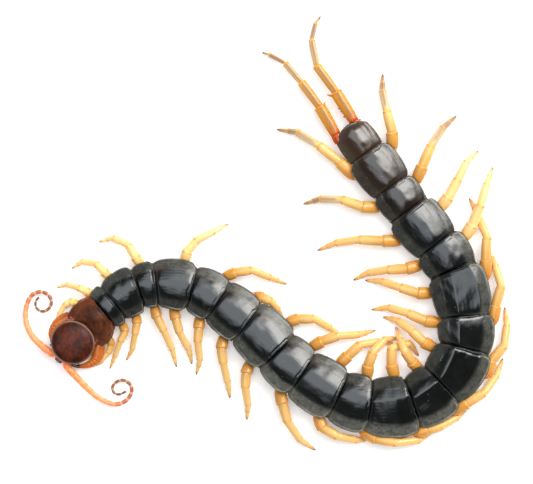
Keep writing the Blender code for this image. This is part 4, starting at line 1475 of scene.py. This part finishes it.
@dataclass
class Jaws:
    """The plate under the head, its teeth, and the two forcipules with their fangs."""

    # Place ahead of the head's middle, half width, lower and upper height of the jaw plate, mm.
    plate: Knots = (
        (-5.0, 2.8, 0.3, 3.0), (-1.0, 3.6, 0.3, 3.0), (1.4, 3.0, 0.3, 3.0), (3.0, 2.2, 0.4, 1.9),
        (5.2, 1.5, 0.6, 1.8), (6.5, 0.9, 1.0, 1.6),
    )
    start: tuple[float, float, float] = (-4.2, 5.0, 1.9)
    reach: float = 9.2
    spread: dict[Side, float] = field(default_factory=lambda: {Side.LEFT: 2.8, Side.RIGHT: 1.6})
    pull: dict[Side, float] = field(default_factory=lambda: {Side.LEFT: 0.0, Side.RIGHT: 1.3})
    drop: float = 0.3
    fang_tip: tuple[float, float, float] = (5.15, 1.9, 1.75)
    fang_radius: float = 0.50
    # Place ahead of the first tooth, step back to the next and height, mm, at foot and tip.
    tooth_foot: tuple[float, float, float] = (5.9, 0.28, 1.35)
    tooth_tip: tuple[float, float, float] = (6.95, 0.34, 1.45)
    # Distance out of the first tooth and step out to the next, mm.
    tooth_out: tuple[float, float] = (0.22, 0.30)
    tooth_radius: float = 0.17
    teeth_a_side: int = 5
    pinches: tuple[Ridge, ...] = (
        Ridge(1.0, 0.44, 0.012), Ridge(1.0, 0.54, 0.010), Ridge(1.0, 0.615, 0.012),
    )
    swells: tuple[Ridge, ...] = (Ridge(0.035, 0.41, 0.02), Ridge(0.035, 0.58, 0.012))
    radii: Knots = (
        (0.0, 1.6), (0.125, 1.7), (0.25, 1.66), (0.375, 1.5), (0.5, 1.32), (0.625, 1.06),
        (0.75, 0.78), (0.88, 0.52), (1.0, 0.30),
    )

    def point(self, side: Side, share: Array) -> Array:
        """Points along a forcipule: it bows out beside the head and closes in below its front."""
        ahead, out, up = self.start
        bow = self.spread[side] * np.sin(np.pi * share) - share
        bow = bow - self.pull[side] * ease((share - 0.60) / 0.3)
        out = side.sign * (out + bow)
        return BACK.ahead(ahead + self.reach * share, out, up - self.drop * share)

    def forcipule(self, side: Side) -> Surface:
        """A forcipule: its radius follows the knots, with pinched rings at its three joints.

        Args:
            side: The side of the animal.

        Returns:
            The closed forcipule, without its fang.
        """
        share = np.linspace(-0.04, 0.90, 96)
        centres = self.point(side, share)
        ways = ways_of(centres)
        radius = smooth_between(share, self.radii)
        joint = sum(pinch.over(share) for pinch in self.pinches)
        radius = radius * (1 - 0.10 * joint) * (1 + sum(swell.over(share) for swell in self.swells))
        low = np.maximum(centres[:, 2], 0.95 * radius + 0.02)
        centres = np.column_stack([centres[:, :2], low])
        return rod(centres, ways, radius, 0.95 * radius, 28, {"run": share / 0.9, "joint": joint})

    def fang(self, side: Side) -> Surface:
        """The black end of a forcipule, a horn that curls in under the head's front.

        Args:
            side: The side of the animal.

        Returns:
            The closed fang.
        """
        t = np.linspace(0.0, 1.0, 36)
        before, root = self.point(side, np.array([0.83, 0.87]))
        ahead, out, up = self.fang_tip
        tip = BACK.ahead(ahead, side.sign * out, up)
        bend = root + 1.6 * unit(root - before)
        q = t[:, None]
        centres = (1 - q) ** 2 * root + 2 * q * (1 - q) * bend + q**2 * tip
        radius = self.fang_radius * (1 - t) ** 0.75 + 0.05
        return rod(centres, ways_of(centres), radius, 0.9 * radius, 20, {"run": 0.3 + t})

    def sternum(self) -> Surface:
        """The plate under the head, lofted through its rows, with a groove along its middle."""
        rows = np.linspace(self.plate[0][0], self.plate[-1][0], 60)
        half, low, high = (smooth_between(rows, self.plate, k) for k in (1, 2, 3))
        c, d = boxed(circle(48)[None, :], 0.6)
        out = half[:, None] * c
        up = (low + high)[:, None] / 2 + (high - low)[:, None] / 2 * d
        up = up + 0.18 * bump_at(out, 0.0, 0.22) * (d < 0)
        poles = [BACK.ahead(rows[k], 0.0, (low[k] + high[k]) / 2) for k in (0, -1)]
        run = (rows - rows[0]) / (rows[-1] - rows[0])
        return closed_rings(BACK.ahead(rows[:, None], out, up), *poles, {"run": run})

    def teeth(self) -> Surface:
        """Two short combs of five blunt teeth on the front of the plate."""
        thin = self.tooth_radius * (1 - 0.75 * np.linspace(0, 1, 6) ** 1.5)
        (ahead, back, up), (tip_ahead, tip_back, tip_up) = self.tooth_foot, self.tooth_tip
        first, step = self.tooth_out
        parts = []
        for side in Side:
            for k in range(self.teeth_a_side):
                out = side.sign * (first + step * k)
                foot = BACK.ahead(ahead - back * k, out, up)
                tip = BACK.ahead(tip_ahead - tip_back * k, out * 1.05, tip_up)
                parts.append(spike(foot, tip, thin, 10))
        return Surface.joined(parts)

    def palp(self, side: Side) -> Surface:
        """A maxilla's palp, folded in between the jaw plate and the face.

        Args:
            side: The side of the animal.

        Returns:
            The closed palp.
        """
        t = np.linspace(0.0, 1.0, 30)
        ahead = -1.6 + 6.3 * t
        out = side.sign * (3.0 - 1.9 * t**2 + 0.7 * np.sin(np.pi * t))
        centres = BACK.ahead(ahead, out, 3.05 - 0.25 * t)
        waist = 1 - 0.1 * bump_at(t, 0.4, 0.03) - 0.1 * bump_at(t, 0.7, 0.03)
        radius = 0.62 * (1 - 0.45 * t) * waist
        values = {"run": 0.3 + 0.4 * t, "joint": bump_at(t, 0.4, 0.04)}
        return rod(centres, ways_of(centres), radius, radius, 16, values)

    def build(self) -> None:
        """Shows the plate, the teeth, the palps, the forcipules and the fangs."""
        show("jaw_plate", self.sternum(), FORCIPULE_HORN, Slot.FORCIPULE)
        show("jaw_teeth", self.teeth(), FANG_HORN, Slot.FANG)
        for side in Side:
            show(f"poison_claw_{side.word}", self.forcipule(side), FORCIPULE_HORN, Slot.FORCIPULE,
                 (f"forcipule_{side.word}",))
            show(f"fang_{side.word}", self.fang(side), FANG_HORN, Slot.FANG)
            show(f"palp_{side.word}", self.palp(side), FORCIPULE_HORN, Slot.FORCIPULE)


@dataclass
class Antennae:
    """Two antennae of nineteen articles, drawn with arcs and ending in flat coils."""

    # The root's place ahead and out in mm, the first heading in degrees from +X, and the length
    # in mm and the turn in degrees of each arc.
    arcs: dict[Side, tuple] = field(default_factory=lambda: {
        Side.LEFT: ((4.6, 1.5), 256,
                    ((2.3, 54), (8.8, 7), (5.5, 23), (6.6, 85), (8.1, 179), (3.8, 138), (1.6, 10))),
        Side.RIGHT: ((4.6, -1.3), 204, ((2.4, -60), (4.4, -8), (7.2, -43), (5.0, -32),
                                        (6.2, -116), (4.4, -104), (5.8, -173))),
    })
    articles: int = 19
    rings: tuple[float, ...] = (
        0.0, 0.04, 0.08, 0.14, 0.22, 0.34, 0.46, 0.58, 0.70, 0.80, 0.88, 0.94, 0.98)
    radii: Knots = ((0.0, 1.05), (0.5, 0.64), (1.0, 0.30))
    heights: tuple[float, float] = (3.2, 1.3)
    level: float = 0.45
    taper: float = 0.25
    root_rise: float = 0.35
    article: Knots = (
        (0.0, 0.80), (0.07, 0.80), (0.16, 0.88), (0.5, 0.97), (0.75, 1.0), (0.90, 0.98),
        (1.0, 0.86),
    )

    def plan(self, side: Side) -> Array:
        """The line on the plan: short steps whose heading turns evenly through each arc.

        Args:
            side: The side of the animal.

        Returns:
            Points along the line, mm.
        """
        start, angle, arcs = self.arcs[side]
        step = 0.05
        turns = np.concatenate([np.full(round(length / step), turn / round(length / step))
                                for length, turn in arcs])
        steps = step * heading(angle + np.cumsum(turns))
        first = BACK.ahead(*start, 0.0)[:2]
        return np.concatenate([first[None], first + np.cumsum(steps, axis=0)])

    def surface(self, side: Side) -> Surface:
        """One antenna: each article swells from a narrow neck, and the line drops to its coil.

        Args:
            side: The side of the animal.

        Returns:
            The closed antenna.
        """
        plan = self.plan(side)
        bounds = np.linspace(0, 1, self.articles + 1)
        bounds = (1 + self.taper) * bounds - self.taper * bounds**2
        f = np.array(self.rings)
        at = (bounds[:-1, None] + f[None, :] * np.diff(bounds)[:, None]).ravel()
        local = np.tile(f, self.articles)
        at, local = np.append(at, 0.9995), np.append(local, 0.5)
        table = np.array(self.radii)
        beads = 0.45 + 0.75 * ease((at - 0.38) / 0.2)
        waist = 1 - beads * (1 - smooth_between(local, self.article))
        radius = np.interp(at, table[:, 0], table[:, 1]) * waist
        radius[-3:] *= np.array([0.85, 0.6, 0.35])
        droop = np.clip(at / self.level, 0, 1)
        up = self.heights[0] + (self.heights[1] - self.heights[0]) * droop**2 * (3 - 2 * droop)
        up = up + self.root_rise * np.clip(1 - at / 0.03, 0, 1)
        share = np.linspace(0, 1, len(plan))
        centres = np.column_stack([*(np.interp(at, share, line) for line in plan.T), up])
        far = ease((at - 0.44) / 0.14)
        ring = np.maximum(bump_at(local, 0.0, 0.10), bump_at(local, 1.0, 0.07))
        values = {"run": at, "joint": bump_at(local, 0.5, 0.24) * far,
                  "ring": ring * (0.25 + 0.75 * far)}
        return rod(centres, ways_of(centres), radius, radius, 22, values)

    def socket(self, side: Side) -> Surface:
        """The ring on the head that the antenna stands in.

        Args:
            side: The side of the animal.

        Returns:
            The closed ring.
        """
        plan = self.plan(side)
        way = unit(np.append(plan[30] - plan[0], -0.5))
        root = np.array([*plan[0], self.heights[0] + self.root_rise])
        t = np.linspace(-2.2, 0.25, 14)
        radius = 0.95 + 0.14 * bump_at(t, 0.0, 0.22) - 0.3 * ease((t - 0.05) / 0.2)
        ways = np.repeat(way[None], len(t), 0)
        return rod(root + t[:, None] * way, ways, radius, radius, 24,
                   {"run": 0 * t, "joint": bump_at(t, -0.4, 0.3)})

    def build(self) -> None:
        """Shows the antennae and their sockets."""
        for side in Side:
            show(f"feeler_{side.word}", self.surface(side), ANTENNA_HORN, Slot.ANTENNA,
                 (f"antenna_{side.word}",))
            show(f"feeler_socket_{side.word}", self.socket(side), ANTENNA_HORN, Slot.ANTENNA)


# The legs

# For each walking leg, front to rear: place of its hip along its segment, its span in mm, and
# the headings of prefemur, femur, tibia and tarsi in degrees from +X.
LEFT_POSES = (
    (0.33, 10.2, -68, -113, -130, -156), (0.52, 12.7, -67, -117, -110, -113),
    (0.43, 12.2, -83, -100, -101, -119), (0.64, 16.9, -75, -63, -66, -77),
    (0.60, 15.2, -77, -74, -62, -78), (0.74, 14.9, -95, -94, -83, -105),
    (0.73, 16.2, -103, -82, -77, -82), (0.76, 15.0, -111, -93, -81, -95),
    (0.78, 18.9, -76, -74, -55, -34), (0.80, 17.1, -66, -29, -12, 6),
    (0.92, 20.0, -29, -10, 5, 32), (0.90, 14.8, 14, 17, 28, 38),
    (0.77, 19.2, 38, 30, 53, 69), (0.66, 18.8, 69, 50, 82, 96),
    (0.72, 19.6, 82, 73, 106, 111), (0.65, 21.2, 90, 87, 111, 117),
    (0.66, 19.8, 58, 69, 72, 69), (0.58, 18.0, 54, 62, 63, 43),
    (0.65, 20.3, 67, 67, 56, 41), (0.72, 19.5, 92, 104, 102, 88),
)
RIGHT_POSES = (
    (0.42, 8.1, 174, 214, 240, 246), (0.20, 9.5, 153, 157, 164, 201),
    (0.37, 11.6, 135, 135, 172, 215), (0.47, 14.0, 124, 122, 155, 197),
    (0.66, 15.5, 74, 48, 27, 28), (0.76, 17.0, 22, 8, -22, -22),
    (0.70, 9.5, -14, -21, -51, -60), (0.67, 16.0, 18, 0, -30, -34),
    (0.72, 17.4, 29, 19, 3, 13), (0.67, 16.5, 45, 42, 9, -11),
    (0.75, 15.0, 86, 70, 46, 0), (0.66, 16.5, 105, 90, 14, -55),
    (0.80, 12.1, 135, 125, 111, 107), (0.70, 15.5, 151, 137, 144, 166),
    (0.88, 18.0, 172, 156, 164, 188), (0.67, 17.4, 180, 162, 162, 176),
    (0.76, 17.8, 194, 183, 189, 208), (0.60, 21.6, 180, 177, 188, 203),
    (0.69, 19.8, 178, 160, 178, 197), (0.73, 23.8, 135, 141, 148, 172),
)
LEG_POSES = {Side.LEFT: LEFT_POSES, Side.RIGHT: RIGHT_POSES}
# Heights in mm of the far ends of femur and tibia, where a leg steps over or under another.
STEPPING_LEGS = {
    (Side.LEFT, 1): (1.5, 0.8), (Side.RIGHT, 1): (1.5, 0.8), (Side.LEFT, 10): (3.0, 1.2),
    (Side.LEFT, 11): (3.8, 1.8), (Side.LEFT, 12): (2.8, 1.6), (Side.LEFT, 14): (2.6, 1.6),
    (Side.LEFT, 15): (2.6, 1.4), (Side.LEFT, 16): (2.8, 1.0), (Side.LEFT, 17): (4.2, 2.2),
    (Side.RIGHT, 8): (2.6, 1.0), (Side.RIGHT, 9): (4.0, 1.8), (Side.RIGHT, 10): (3.0, 1.0),
    (Side.RIGHT, 11): (4.2, 2.2), (Side.RIGHT, 12): (3.8, 1.9), (Side.RIGHT, 13): (5.2, 3.8),
    (Side.RIGHT, 20): (2.4, 1.4),
}


@dataclass
class JointedLimb:
    """How a limb's joints are shaped: narrow at the root, swollen and stepped at the far end."""

    # Shares of a joint's length at which it has a ring of points.
    steps: tuple[float, ...] = (
        0.005, 0.03, 0.06, 0.10, 0.15, 0.22, 0.30, 0.38, 0.46, 0.54, 0.62, 0.70, 0.77, 0.83, 0.88,
        0.92, 0.95, 0.97, 0.985, 0.996,
    )
    neck: float = 0.03
    neck_reach: float = 0.12
    knob: float = 0.015
    knob_back: float = 0.32
    knob_reach: float = 0.20
    shoulder: float = 0.10
    shoulder_reach: float = 0.07
    belly: float = 0.06
    flat: float = 0.92
    sides: int = 24

    def joint_rows(self, length: float, near: float, far: float) -> tuple[Array, ...]:
        """One joint: distances, radii, distances from its far end and nearness to its neck.

        The radius goes from the near to the far one, fuller in the middle, with a neck at its
        root, a knob before its far end, and a rounded shoulder there.

        Args:
            length: The joint's length, mm.
            near: Its radius at its root, mm.
            far: Its radius at its far end, mm.

        Returns:
            Distances from its root, radii, distances from its far end and nearness to its neck.
        """
        f = np.array(self.steps)
        x, back = f * length, (1 - f) * length
        radius = (near + (far - near) * f**0.9) * (1 + self.belly * np.sin(np.pi * f))
        radius = radius * (1 - self.neck * np.exp(-x / self.neck_reach))
        radius = radius * (1 + self.knob * bump_at(back, self.knob_back, self.knob_reach))
        radius = radius * (1 - self.shoulder * np.exp(-back / self.shoulder_reach))
        return x, radius, back, np.exp(-x / 0.25)

    def surface(self, joints: Array, ends: Array, rounding: float = 0.5) -> Surface:
        """A limb through its joints, with the near and far radius of each run.

        Args:
            joints: Corners of the limb's middle line, root first.
            ends: Near and far radius of each run between two corners.
            rounding: How far from a corner the line starts to bend.

        Returns:
            The limb as one closed surface.
        """
        lengths = np.linalg.norm(np.diff(joints, axis=0), axis=1)
        starts = np.concatenate([[0.0], np.cumsum(lengths)])
        rows = [self.joint_rows(length, near, far) for length, (near, far) in zip(lengths, ends)]
        spots = np.concatenate([start + row[0] for start, row in zip(starts, rows)])
        radius, back, neck = (np.concatenate([row[k] for row in rows]) for k in (1, 2, 3))
        step = 1 / (len(rows) - 1)
        run = np.concatenate([(k - 1 + np.array(self.steps)) * step for k in range(len(rows))])
        centres, ways = rounded_path(joints, spots, rounding)
        tall = self.flat * radius
        centres[:, 2] = np.maximum(centres[:, 2], tall + 0.01)
        turn = circle(self.sides)
        shoulders = sum(bump_at(turn, 0.5 * np.pi + lean, 0.32) for lean in (-0.75, 0.75))
        values = {"run": np.clip(run, 0, 1), "joint": bump_at(back, 0.0, 0.22),
                  "spot": bump_at(back, 0.40, 0.20)[:, None] * shoulders, "ring": neck}
        return rod(centres, ways, radius, tall, self.sides, values)

    def claw(self, root: Array, tip: Array, radius: float) -> Surface:
        """A claw that curves down to its tip, with a short spur on each side of its root.

        Args:
            root: Middle of its root.
            tip: Its tip.
            radius: Its radius at the root, mm.

        Returns:
            The claw and its spurs.
        """
        t = np.linspace(0, 1, 16)
        reach = tip - root
        centres = root + t[:, None] * reach
        centres[:, 2] += 0.16 * np.sin(np.pi * t) * np.linalg.norm(reach)
        ways = ways_of(centres)
        wide = radius * (1 - t) ** 0.7 + 0.035
        centres[:, 2] = np.maximum(centres[:, 2], wide + 0.005)
        parts = [rod(centres, ways, wide, wide, 12, {"run": t})]
        side = unit(np.cross(reach, [0.0, 0.0, 1.0]))
        for sign in (-1.0, 1.0):
            end = root + 0.42 * reach + sign * side * radius * 1.25
            parts.append(spike(root, end, 0.45 * radius * (1 - np.linspace(0, 1, 6)) + 0.02, 8))
        return Surface.joined(parts)


@dataclass
class WalkingLegs:
    """The forty walking legs, each from its hip under the plate to its claw."""

    limb: JointedLimb = field(default_factory=JointedLimb)
    # Shares of the span of prefemur, femur, tibia and tarsi, in the first and the last pair.
    shares: Knots = ((0.16, 0.23, 0.33, 0.28), (0.20, 0.29, 0.28, 0.23))
    radii: Knots = ((1.0, 0.95), (4.0, 1.22), (9.0, 1.40), (20.0, 1.42))
    # Near and far radius of each run between two corners, as shares of the prefemur's radius.
    girths: Knots = (
        (0.98, 0.98), (1.02, 1.16), (0.92, 0.88), (0.74, 0.70), (0.57, 0.50), (0.44, 0.26))
    # Heights of the first five corners, as shares of the segment's height.
    heights: tuple[float, ...] = (0.29, 0.29, 0.43, 0.42, 0.20)
    tip_height: float = 0.1
    hip_end: float = 0.82
    hip_pull: float = 1.4
    clear: float = 0.98

    def joints(self, side: Side, number: int) -> Array:
        """The corners of the limb's middle line.

        They are a point inside the flank, one at the plate's edge, the far ends of prefemur,
        femur and tibia, the middle of the tarsus, the claw's root and its tip.

        Args:
            side: The side of the animal.
            number: The leg's number from the head.

        Returns:
            The eight corners, mm.
        """
        start, length, half_width, height = segment_size(number)
        place, span, *angles = LEG_POSES[side][number - 1]
        s = start + place * length
        table = np.array(PLATE_PROFILE)
        half_width *= float(np.interp(place, table[:, 0], table[:, 1]))
        out = side.sign * BACK.left(s)
        way = unit(self.hip_pull * out + heading(angles[0]))
        middle = BACK.place(s)
        root = middle + out * half_width * self.hip_end
        edge = root + way * half_width * (self.clear - self.hip_end) / float(way @ out)
        part = (number - 1) / (LAST - 2)
        shares = (1 - part) * np.array(self.shares[0]) + part * np.array(self.shares[1])
        runs = span * shares[:, None] * heading(np.array(angles, float))
        plan = np.concatenate([[root - 1.6 * way, edge], edge + np.cumsum(runs, axis=0)])
        levels = [share * height for share in self.heights] + [self.tip_height]
        if (side, number) in STEPPING_LEGS:
            levels[3], levels[4] = STEPPING_LEGS[side, number]
            levels[2] = (levels[1] + levels[3]) / 2
        corners = np.column_stack([plan, levels])
        ankle, tip = corners[-2], corners[-1]
        reach = tip - ankle
        middle_of_tarsus = ankle + reach * (0.46, 0.46, 0.62)
        claw_root = ankle + reach * (0.87, 0.87, 0.96)
        return np.concatenate([corners[:-1], [middle_of_tarsus, claw_root, tip]])

    def radius(self, number: int) -> float:
        """Radius of a prefemur, growing from the first pair to the last walking pair."""
        return float(np.interp(number, *np.array(self.radii).T))

    def kind(self, side: Side, number: int) -> str:
        """Which of the colour runs a leg has: the last walking pairs their own, the other legs a
        lighter or darker copy of one colour, with painted light and shade by where they lie on the
        body.
        """
        if number >= 19:
            return "rear"
        if side is Side.LEFT:
            return "deep" if number <= 9 else "middle" if number <= 16 else "pale"
        return "pale" if number <= 5 else "middle"

    def build(self) -> None:
        """Shows the legs and their claws."""
        for side in Side:
            for number in range(1, LAST):
                joints, radius = self.joints(side, number), self.radius(number)
                leg = self.limb.surface(joints[:-1], radius * np.array(self.girths))
                tag = f"{side.word}_{number:02d}"
                show(f"walking_leg_{tag}", leg, LEG_HORNS_LIT_SHADED_AND_REAR[self.kind(side, number)], Slot.LEG,
                     (f"leg_{tag}",))
                root, tip = joints[-2:]
                root[2] = max(root[2], 0.22 * radius)
                show(f"claw_{tag}", self.limb.claw(root, tip, 0.17 * radius), CLAW_HORN, Slot.CLAW)


@dataclass
class LastLegs:
    """The last pair, thick and trailed behind, with spines on the inner side of its first joint."""

    limb: JointedLimb = field(default_factory=lambda: JointedLimb(neck=0.10, knob=0.035, sides=28))
    # Heading in degrees from +X and length in mm of each joint.
    runs: dict[Side, Knots] = field(default_factory=lambda: {
        Side.LEFT: ((122, 9.0), (126, 8.4), (101, 6.9), (77, 4.5), (54, 2.4)),
        Side.RIGHT: ((120, 8.5), (127, 7.9), (130, 6.5), (151, 4.8), (164, 2.0)),
    })
    # Near and far radius of each run between two corners, mm.
    girths: Knots = (
        (1.40, 1.38), (1.36, 1.60), (1.10, 1.20), (0.84, 0.90), (0.56, 0.58), (0.40, 0.30))
    prefemur_radius: float = 1.5
    heights: tuple[float, ...] = (2.5, 2.3, 1.7, 0.8, 0.25)
    hip_height: float = 2.6
    hip_place: float = 0.97
    hip_out: dict[Side, float] = field(default_factory=lambda: {Side.LEFT: 2.3, Side.RIGHT: 3.6})
    # Share along the prefemur, turn from up to inward in degrees, and size of each spine.
    spines: dict[Side, Knots] = field(default_factory=lambda: {
        Side.LEFT: ((0.22, 96.0, 0.55), (0.40, 92.0, 0.4), (0.50, 96.0, 0.5), (0.94, 92.0, 1.3)),
        Side.RIGHT: ((0.45, 130.0, 0.3), (0.66, 60.0, 0.3), (0.97, 88.0, 0.5)),
    })
    claw_share: float = 0.62
    claw_radius: float = 0.24
    tip_height: float = 0.12

    def corners(self, side: Side) -> Array:
        """The corners: inside the body, hip, then the far end of each joint.

        Args:
            side: The side of the animal.

        Returns:
            The corners of the limb's middle line, mm.
        """
        start, length, _, _ = segment_size(LAST)
        s = start + self.hip_place * length
        root = BACK.place(s) + side.sign * BACK.left(s) * self.hip_out[side]
        first = heading(self.runs[side][0][0])
        steps = np.array([span * heading(angle) for angle, span in self.runs[side]])
        plan = np.concatenate([[root - 2.2 * first, root], root + np.cumsum(steps, axis=0)])
        levels = np.array([self.hip_height, self.hip_height, *self.heights])
        return np.column_stack([plan, levels])

    def spine(self, side: Side, near: Array, far: Array, row: tuple[float, ...]) -> Surface:
        """A short spine on the prefemur, leaning towards its far end.

        Args:
            side: The leg's side.
            near: The prefemur's near end.
            far: The prefemur's far end.
            row: The spine's share of the prefemur, its turn from up to inward in degrees and
                its size.

        Returns:
            The closed spine.
        """
        share, turn, size = row
        along = unit(far - near)
        inward = unit(side.sign * np.array([-along[1], along[0], 0.0]))
        up = np.cross(along, inward) * side.sign
        out = math.cos(math.radians(turn)) * up + math.sin(math.radians(turn)) * inward
        radius = self.prefemur_radius
        foot = near + share * (far - near)
        t = np.linspace(0, 1, 12)
        start = foot + 0.72 * radius * out
        end = foot + (1.0 + 0.5 * size) * radius * out + 0.8 * size * along
        centres = start + t[:, None] * (end - start) + 0.15 * (t**2)[:, None] * along
        thick = 0.34 * (0.8 + 0.3 * size) * (1 - t) ** 0.8 + 0.03
        return rod(centres, ways_of(centres), thick, thick, 12, {"run": t**1.3})

    def build(self) -> None:
        """Shows the last legs, their spines and their claws."""
        for side in Side:
            *corners, ankle, tip = self.corners(side)
            claw_root = ankle + self.claw_share * (tip - ankle)
            joints = np.array([*corners, ankle, claw_root])
            tag = f"{side.word}_{LAST}"
            leg = self.limb.surface(joints, np.array(self.girths), 0.6)
            show(f"last_leg_{side.word}", leg, LAST_LEG_HORN, Slot.LAST_LEG, (f"leg_{tag}",))
            parts = [self.spine(side, joints[1], joints[2], row) for row in self.spines[side]]
            show(f"last_leg_spines_{side.word}", Surface.joined(parts), SPINE_HORN, Slot.SPINE)
            tip[2] = self.tip_height
            claw = self.limb.claw(claw_root, tip, self.claw_radius)
            show(f"claw_{tag}", claw, CLAW_HORN, Slot.CLAW)


@dataclass
class HipLobes:
    """The pointed lobes on both flanks of the last segment, which end beside the last legs."""

    reach: float = 8.2
    radius: float = 1.5
    height: float = 1.75

    def surface(self, side: Side) -> Surface:
        """A long lobe that narrows to a blunt point.

        Args:
            side: The side of the animal.

        Returns:
            The closed lobe.
        """
        start, _, half_width, _ = segment_size(LAST)
        t = np.linspace(0, 1, 40)
        s = start + 0.6 + self.reach * t
        out = side.sign * (0.62 * half_width - 0.05 * t)
        centres = BACK.at(s, out, self.height)
        radius = self.radius * np.sqrt(np.clip(1 - t**3, 0.02, 1)) * ease(0.35 + t / 0.15)
        return rod(centres, ways_of(centres), radius, 1.05 * radius, 24, {"run": 0.1 + 0.1 * t})

    def build(self) -> None:
        """Shows the two lobes."""
        for side in Side:
            show(f"hip_lobe_{side.word}", self.surface(side), LAST_LEG_HORN, Slot.TAIL)


# The studio


@dataclass(frozen=True)
class Panel:
    """A soft bright panel of the room, by its bearing from +X, its height and its half sizes.

    These and its softness are in degrees, and so is the angle that its sides are turned by in
    their own plane.
    """

    azimuth: float
    elevation: float
    wide: float
    tall: float
    soft: float
    strength: float
    colour: Colour = (1.0, 1.0, 1.0)
    turn: float = 0.0

    def light(self, nodes: Nodes, way: Socket) -> Socket:
        """The panel's light as seen in every direction.

        A direction's share across and up the panel is its product with the panel's own side and
        upper axes. The light falls smoothly to nothing over the softness past each edge.

        Args:
            nodes: The world's nodes.
            way: The direction that is looked in.

        Returns:
            The light's colour.
        """
        azimuth, elevation, turn = np.radians([self.azimuth, self.elevation, self.turn])
        flat = np.array([np.cos(azimuth), np.sin(azimuth), 0.0])
        axis = np.cos(elevation) * flat + np.array([0.0, 0.0, np.sin(elevation)])
        side = np.array([-flat[1], flat[0], 0.0])
        up = np.cross(axis, side)
        c, d = np.cos(turn), np.sin(turn)
        side, up = c * side + d * up, c * up - d * side
        mask = nodes.rise(nodes.product(way, axis), 0.0, 0.2)
        for vector, reach in ((side, self.wide), (up, self.tall)):
            size = nodes.add("Math", 0, {0: nodes.product(way, vector)}, operation="ABSOLUTE")
            none, full = np.sin(np.radians([reach + self.soft, max(reach - self.soft, 0.0)]))
            fall = nodes.rise(size, none, full)
            mask = nodes.add("Math", 0, {0: fall, 1: mask}, operation="MULTIPLY")
        bright = tuple(self.strength * part for part in self.colour)
        return nodes.add("VectorMath", "Vector", {0: bright, "Scale": mask}, operation="SCALE")


@dataclass
class Studio:
    """A white floor, a dim room with two bright panels, and the camera overhead."""

    pixel: float = 0.26
    frame_width: int = 533
    target: tuple[float, float, float] = (0.17, -2.12, 4.0)
    distance: float = 1000.0
    panels: tuple[Panel, ...] = (
        Panel(44.0, 47.0, 15.0, 16.0, 11.0, 11.5, (1.0, 0.985, 0.95)),
        Panel(127.0, 81.0, 22.5, 29.0, 9.0, 3.0, (0.88, 0.95, 1.0), 103.0),
    )
    ceiling: float = 0.10
    wall: float = 0.5
    wall_span: tuple[float, float] = (50.0, 22.0)
    floor_radius: float = 3.0
    floor_drop: float = 0.02
    floor_glow: float = 0.22
    sensor: float = 36.0

    def floor(self) -> None:
        """A wide white floor just under the animal."""
        mesh = bpy.data.meshes.new("floor")
        plan = self.floor_radius * heading(np.degrees(circle(64)))
        points = np.column_stack([plan, np.full(64, -self.floor_drop * MM)])
        mesh.from_pydata(points.tolist(), [], [list(range(64))])
        piece = bpy.data.objects.new("floor", mesh)
        bpy.context.scene.collection.objects.link(piece)
        graph = Graph("floor_white")
        paper = graph.noise(graph.place(), 0.02, 2.0)
        white = graph.mix(paper, (0.90, 0.90, 0.90), (0.92, 0.915, 0.91))
        graph.set(Base_Color=white, Roughness=0.9, Specular_IOR_Level=0.1,
                  Emission_Color=(1.0, 0.99, 0.985), Emission_Strength=self.floor_glow)
        mesh.materials.append(graph.material)

    def world(self) -> None:
        """The room round the animal: pale low walls, a dim ceiling and the bright panels."""
        world = bpy.data.worlds.new("studio")
        world.use_nodes = True
        nodes = Nodes(world.node_tree)
        way = nodes.add("TexCoord", "Generated")
        height = nodes.add("SeparateXYZ", "Z", {0: way})
        top, bottom = np.sin(np.radians(self.wall_span))
        total = nodes.rise(height, top, bottom, self.ceiling, self.wall)
        for panel in self.panels:
            total = nodes.add("VectorMath", "Vector", {0: panel.light(nodes, way), 1: total})
        nodes.feed(world.node_tree.nodes["Background"].inputs["Color"], total)
        bpy.context.scene.world = world

    def camera(self) -> None:
        """A long lens straight above, with the frame's width set by the photograph's scale."""
        lens_data = bpy.data.cameras.new("camera")
        lens_data.sensor_width = self.sensor
        lens_data.lens = self.sensor * self.distance / (self.frame_width * self.pixel)
        lens_data.clip_start, lens_data.clip_end = 0.01, 20.0
        piece = bpy.data.objects.new("camera", lens_data)
        x, y, z = self.target
        piece.location = (x * MM, y * MM, (z + self.distance) * MM)
        bpy.context.scene.collection.objects.link(piece)
        bpy.context.scene.camera = piece

    def build(self) -> None:
        """Sets up the floor, the world's light, the camera and plain screen colours."""
        self.floor()
        self.world()
        self.camera()
        bpy.context.scene.view_settings.view_transform = "Standard"


def main() -> None:
    """Builds the animal and the studio."""
    logging.basicConfig(level=logging.INFO, format="%(name)s %(message)s")
    parts = (SideSkin(), BackPlates(), BellyPlates(), Spiracles(), HeadPlate(), Jaws(), Antennae(),
             WalkingLegs(), LastLegs(), HipLobes(), Studio())
    for part in parts:
        LOG.info("building %s", type(part).__name__)
        part.build()


if __name__ == "__main__":
    main()
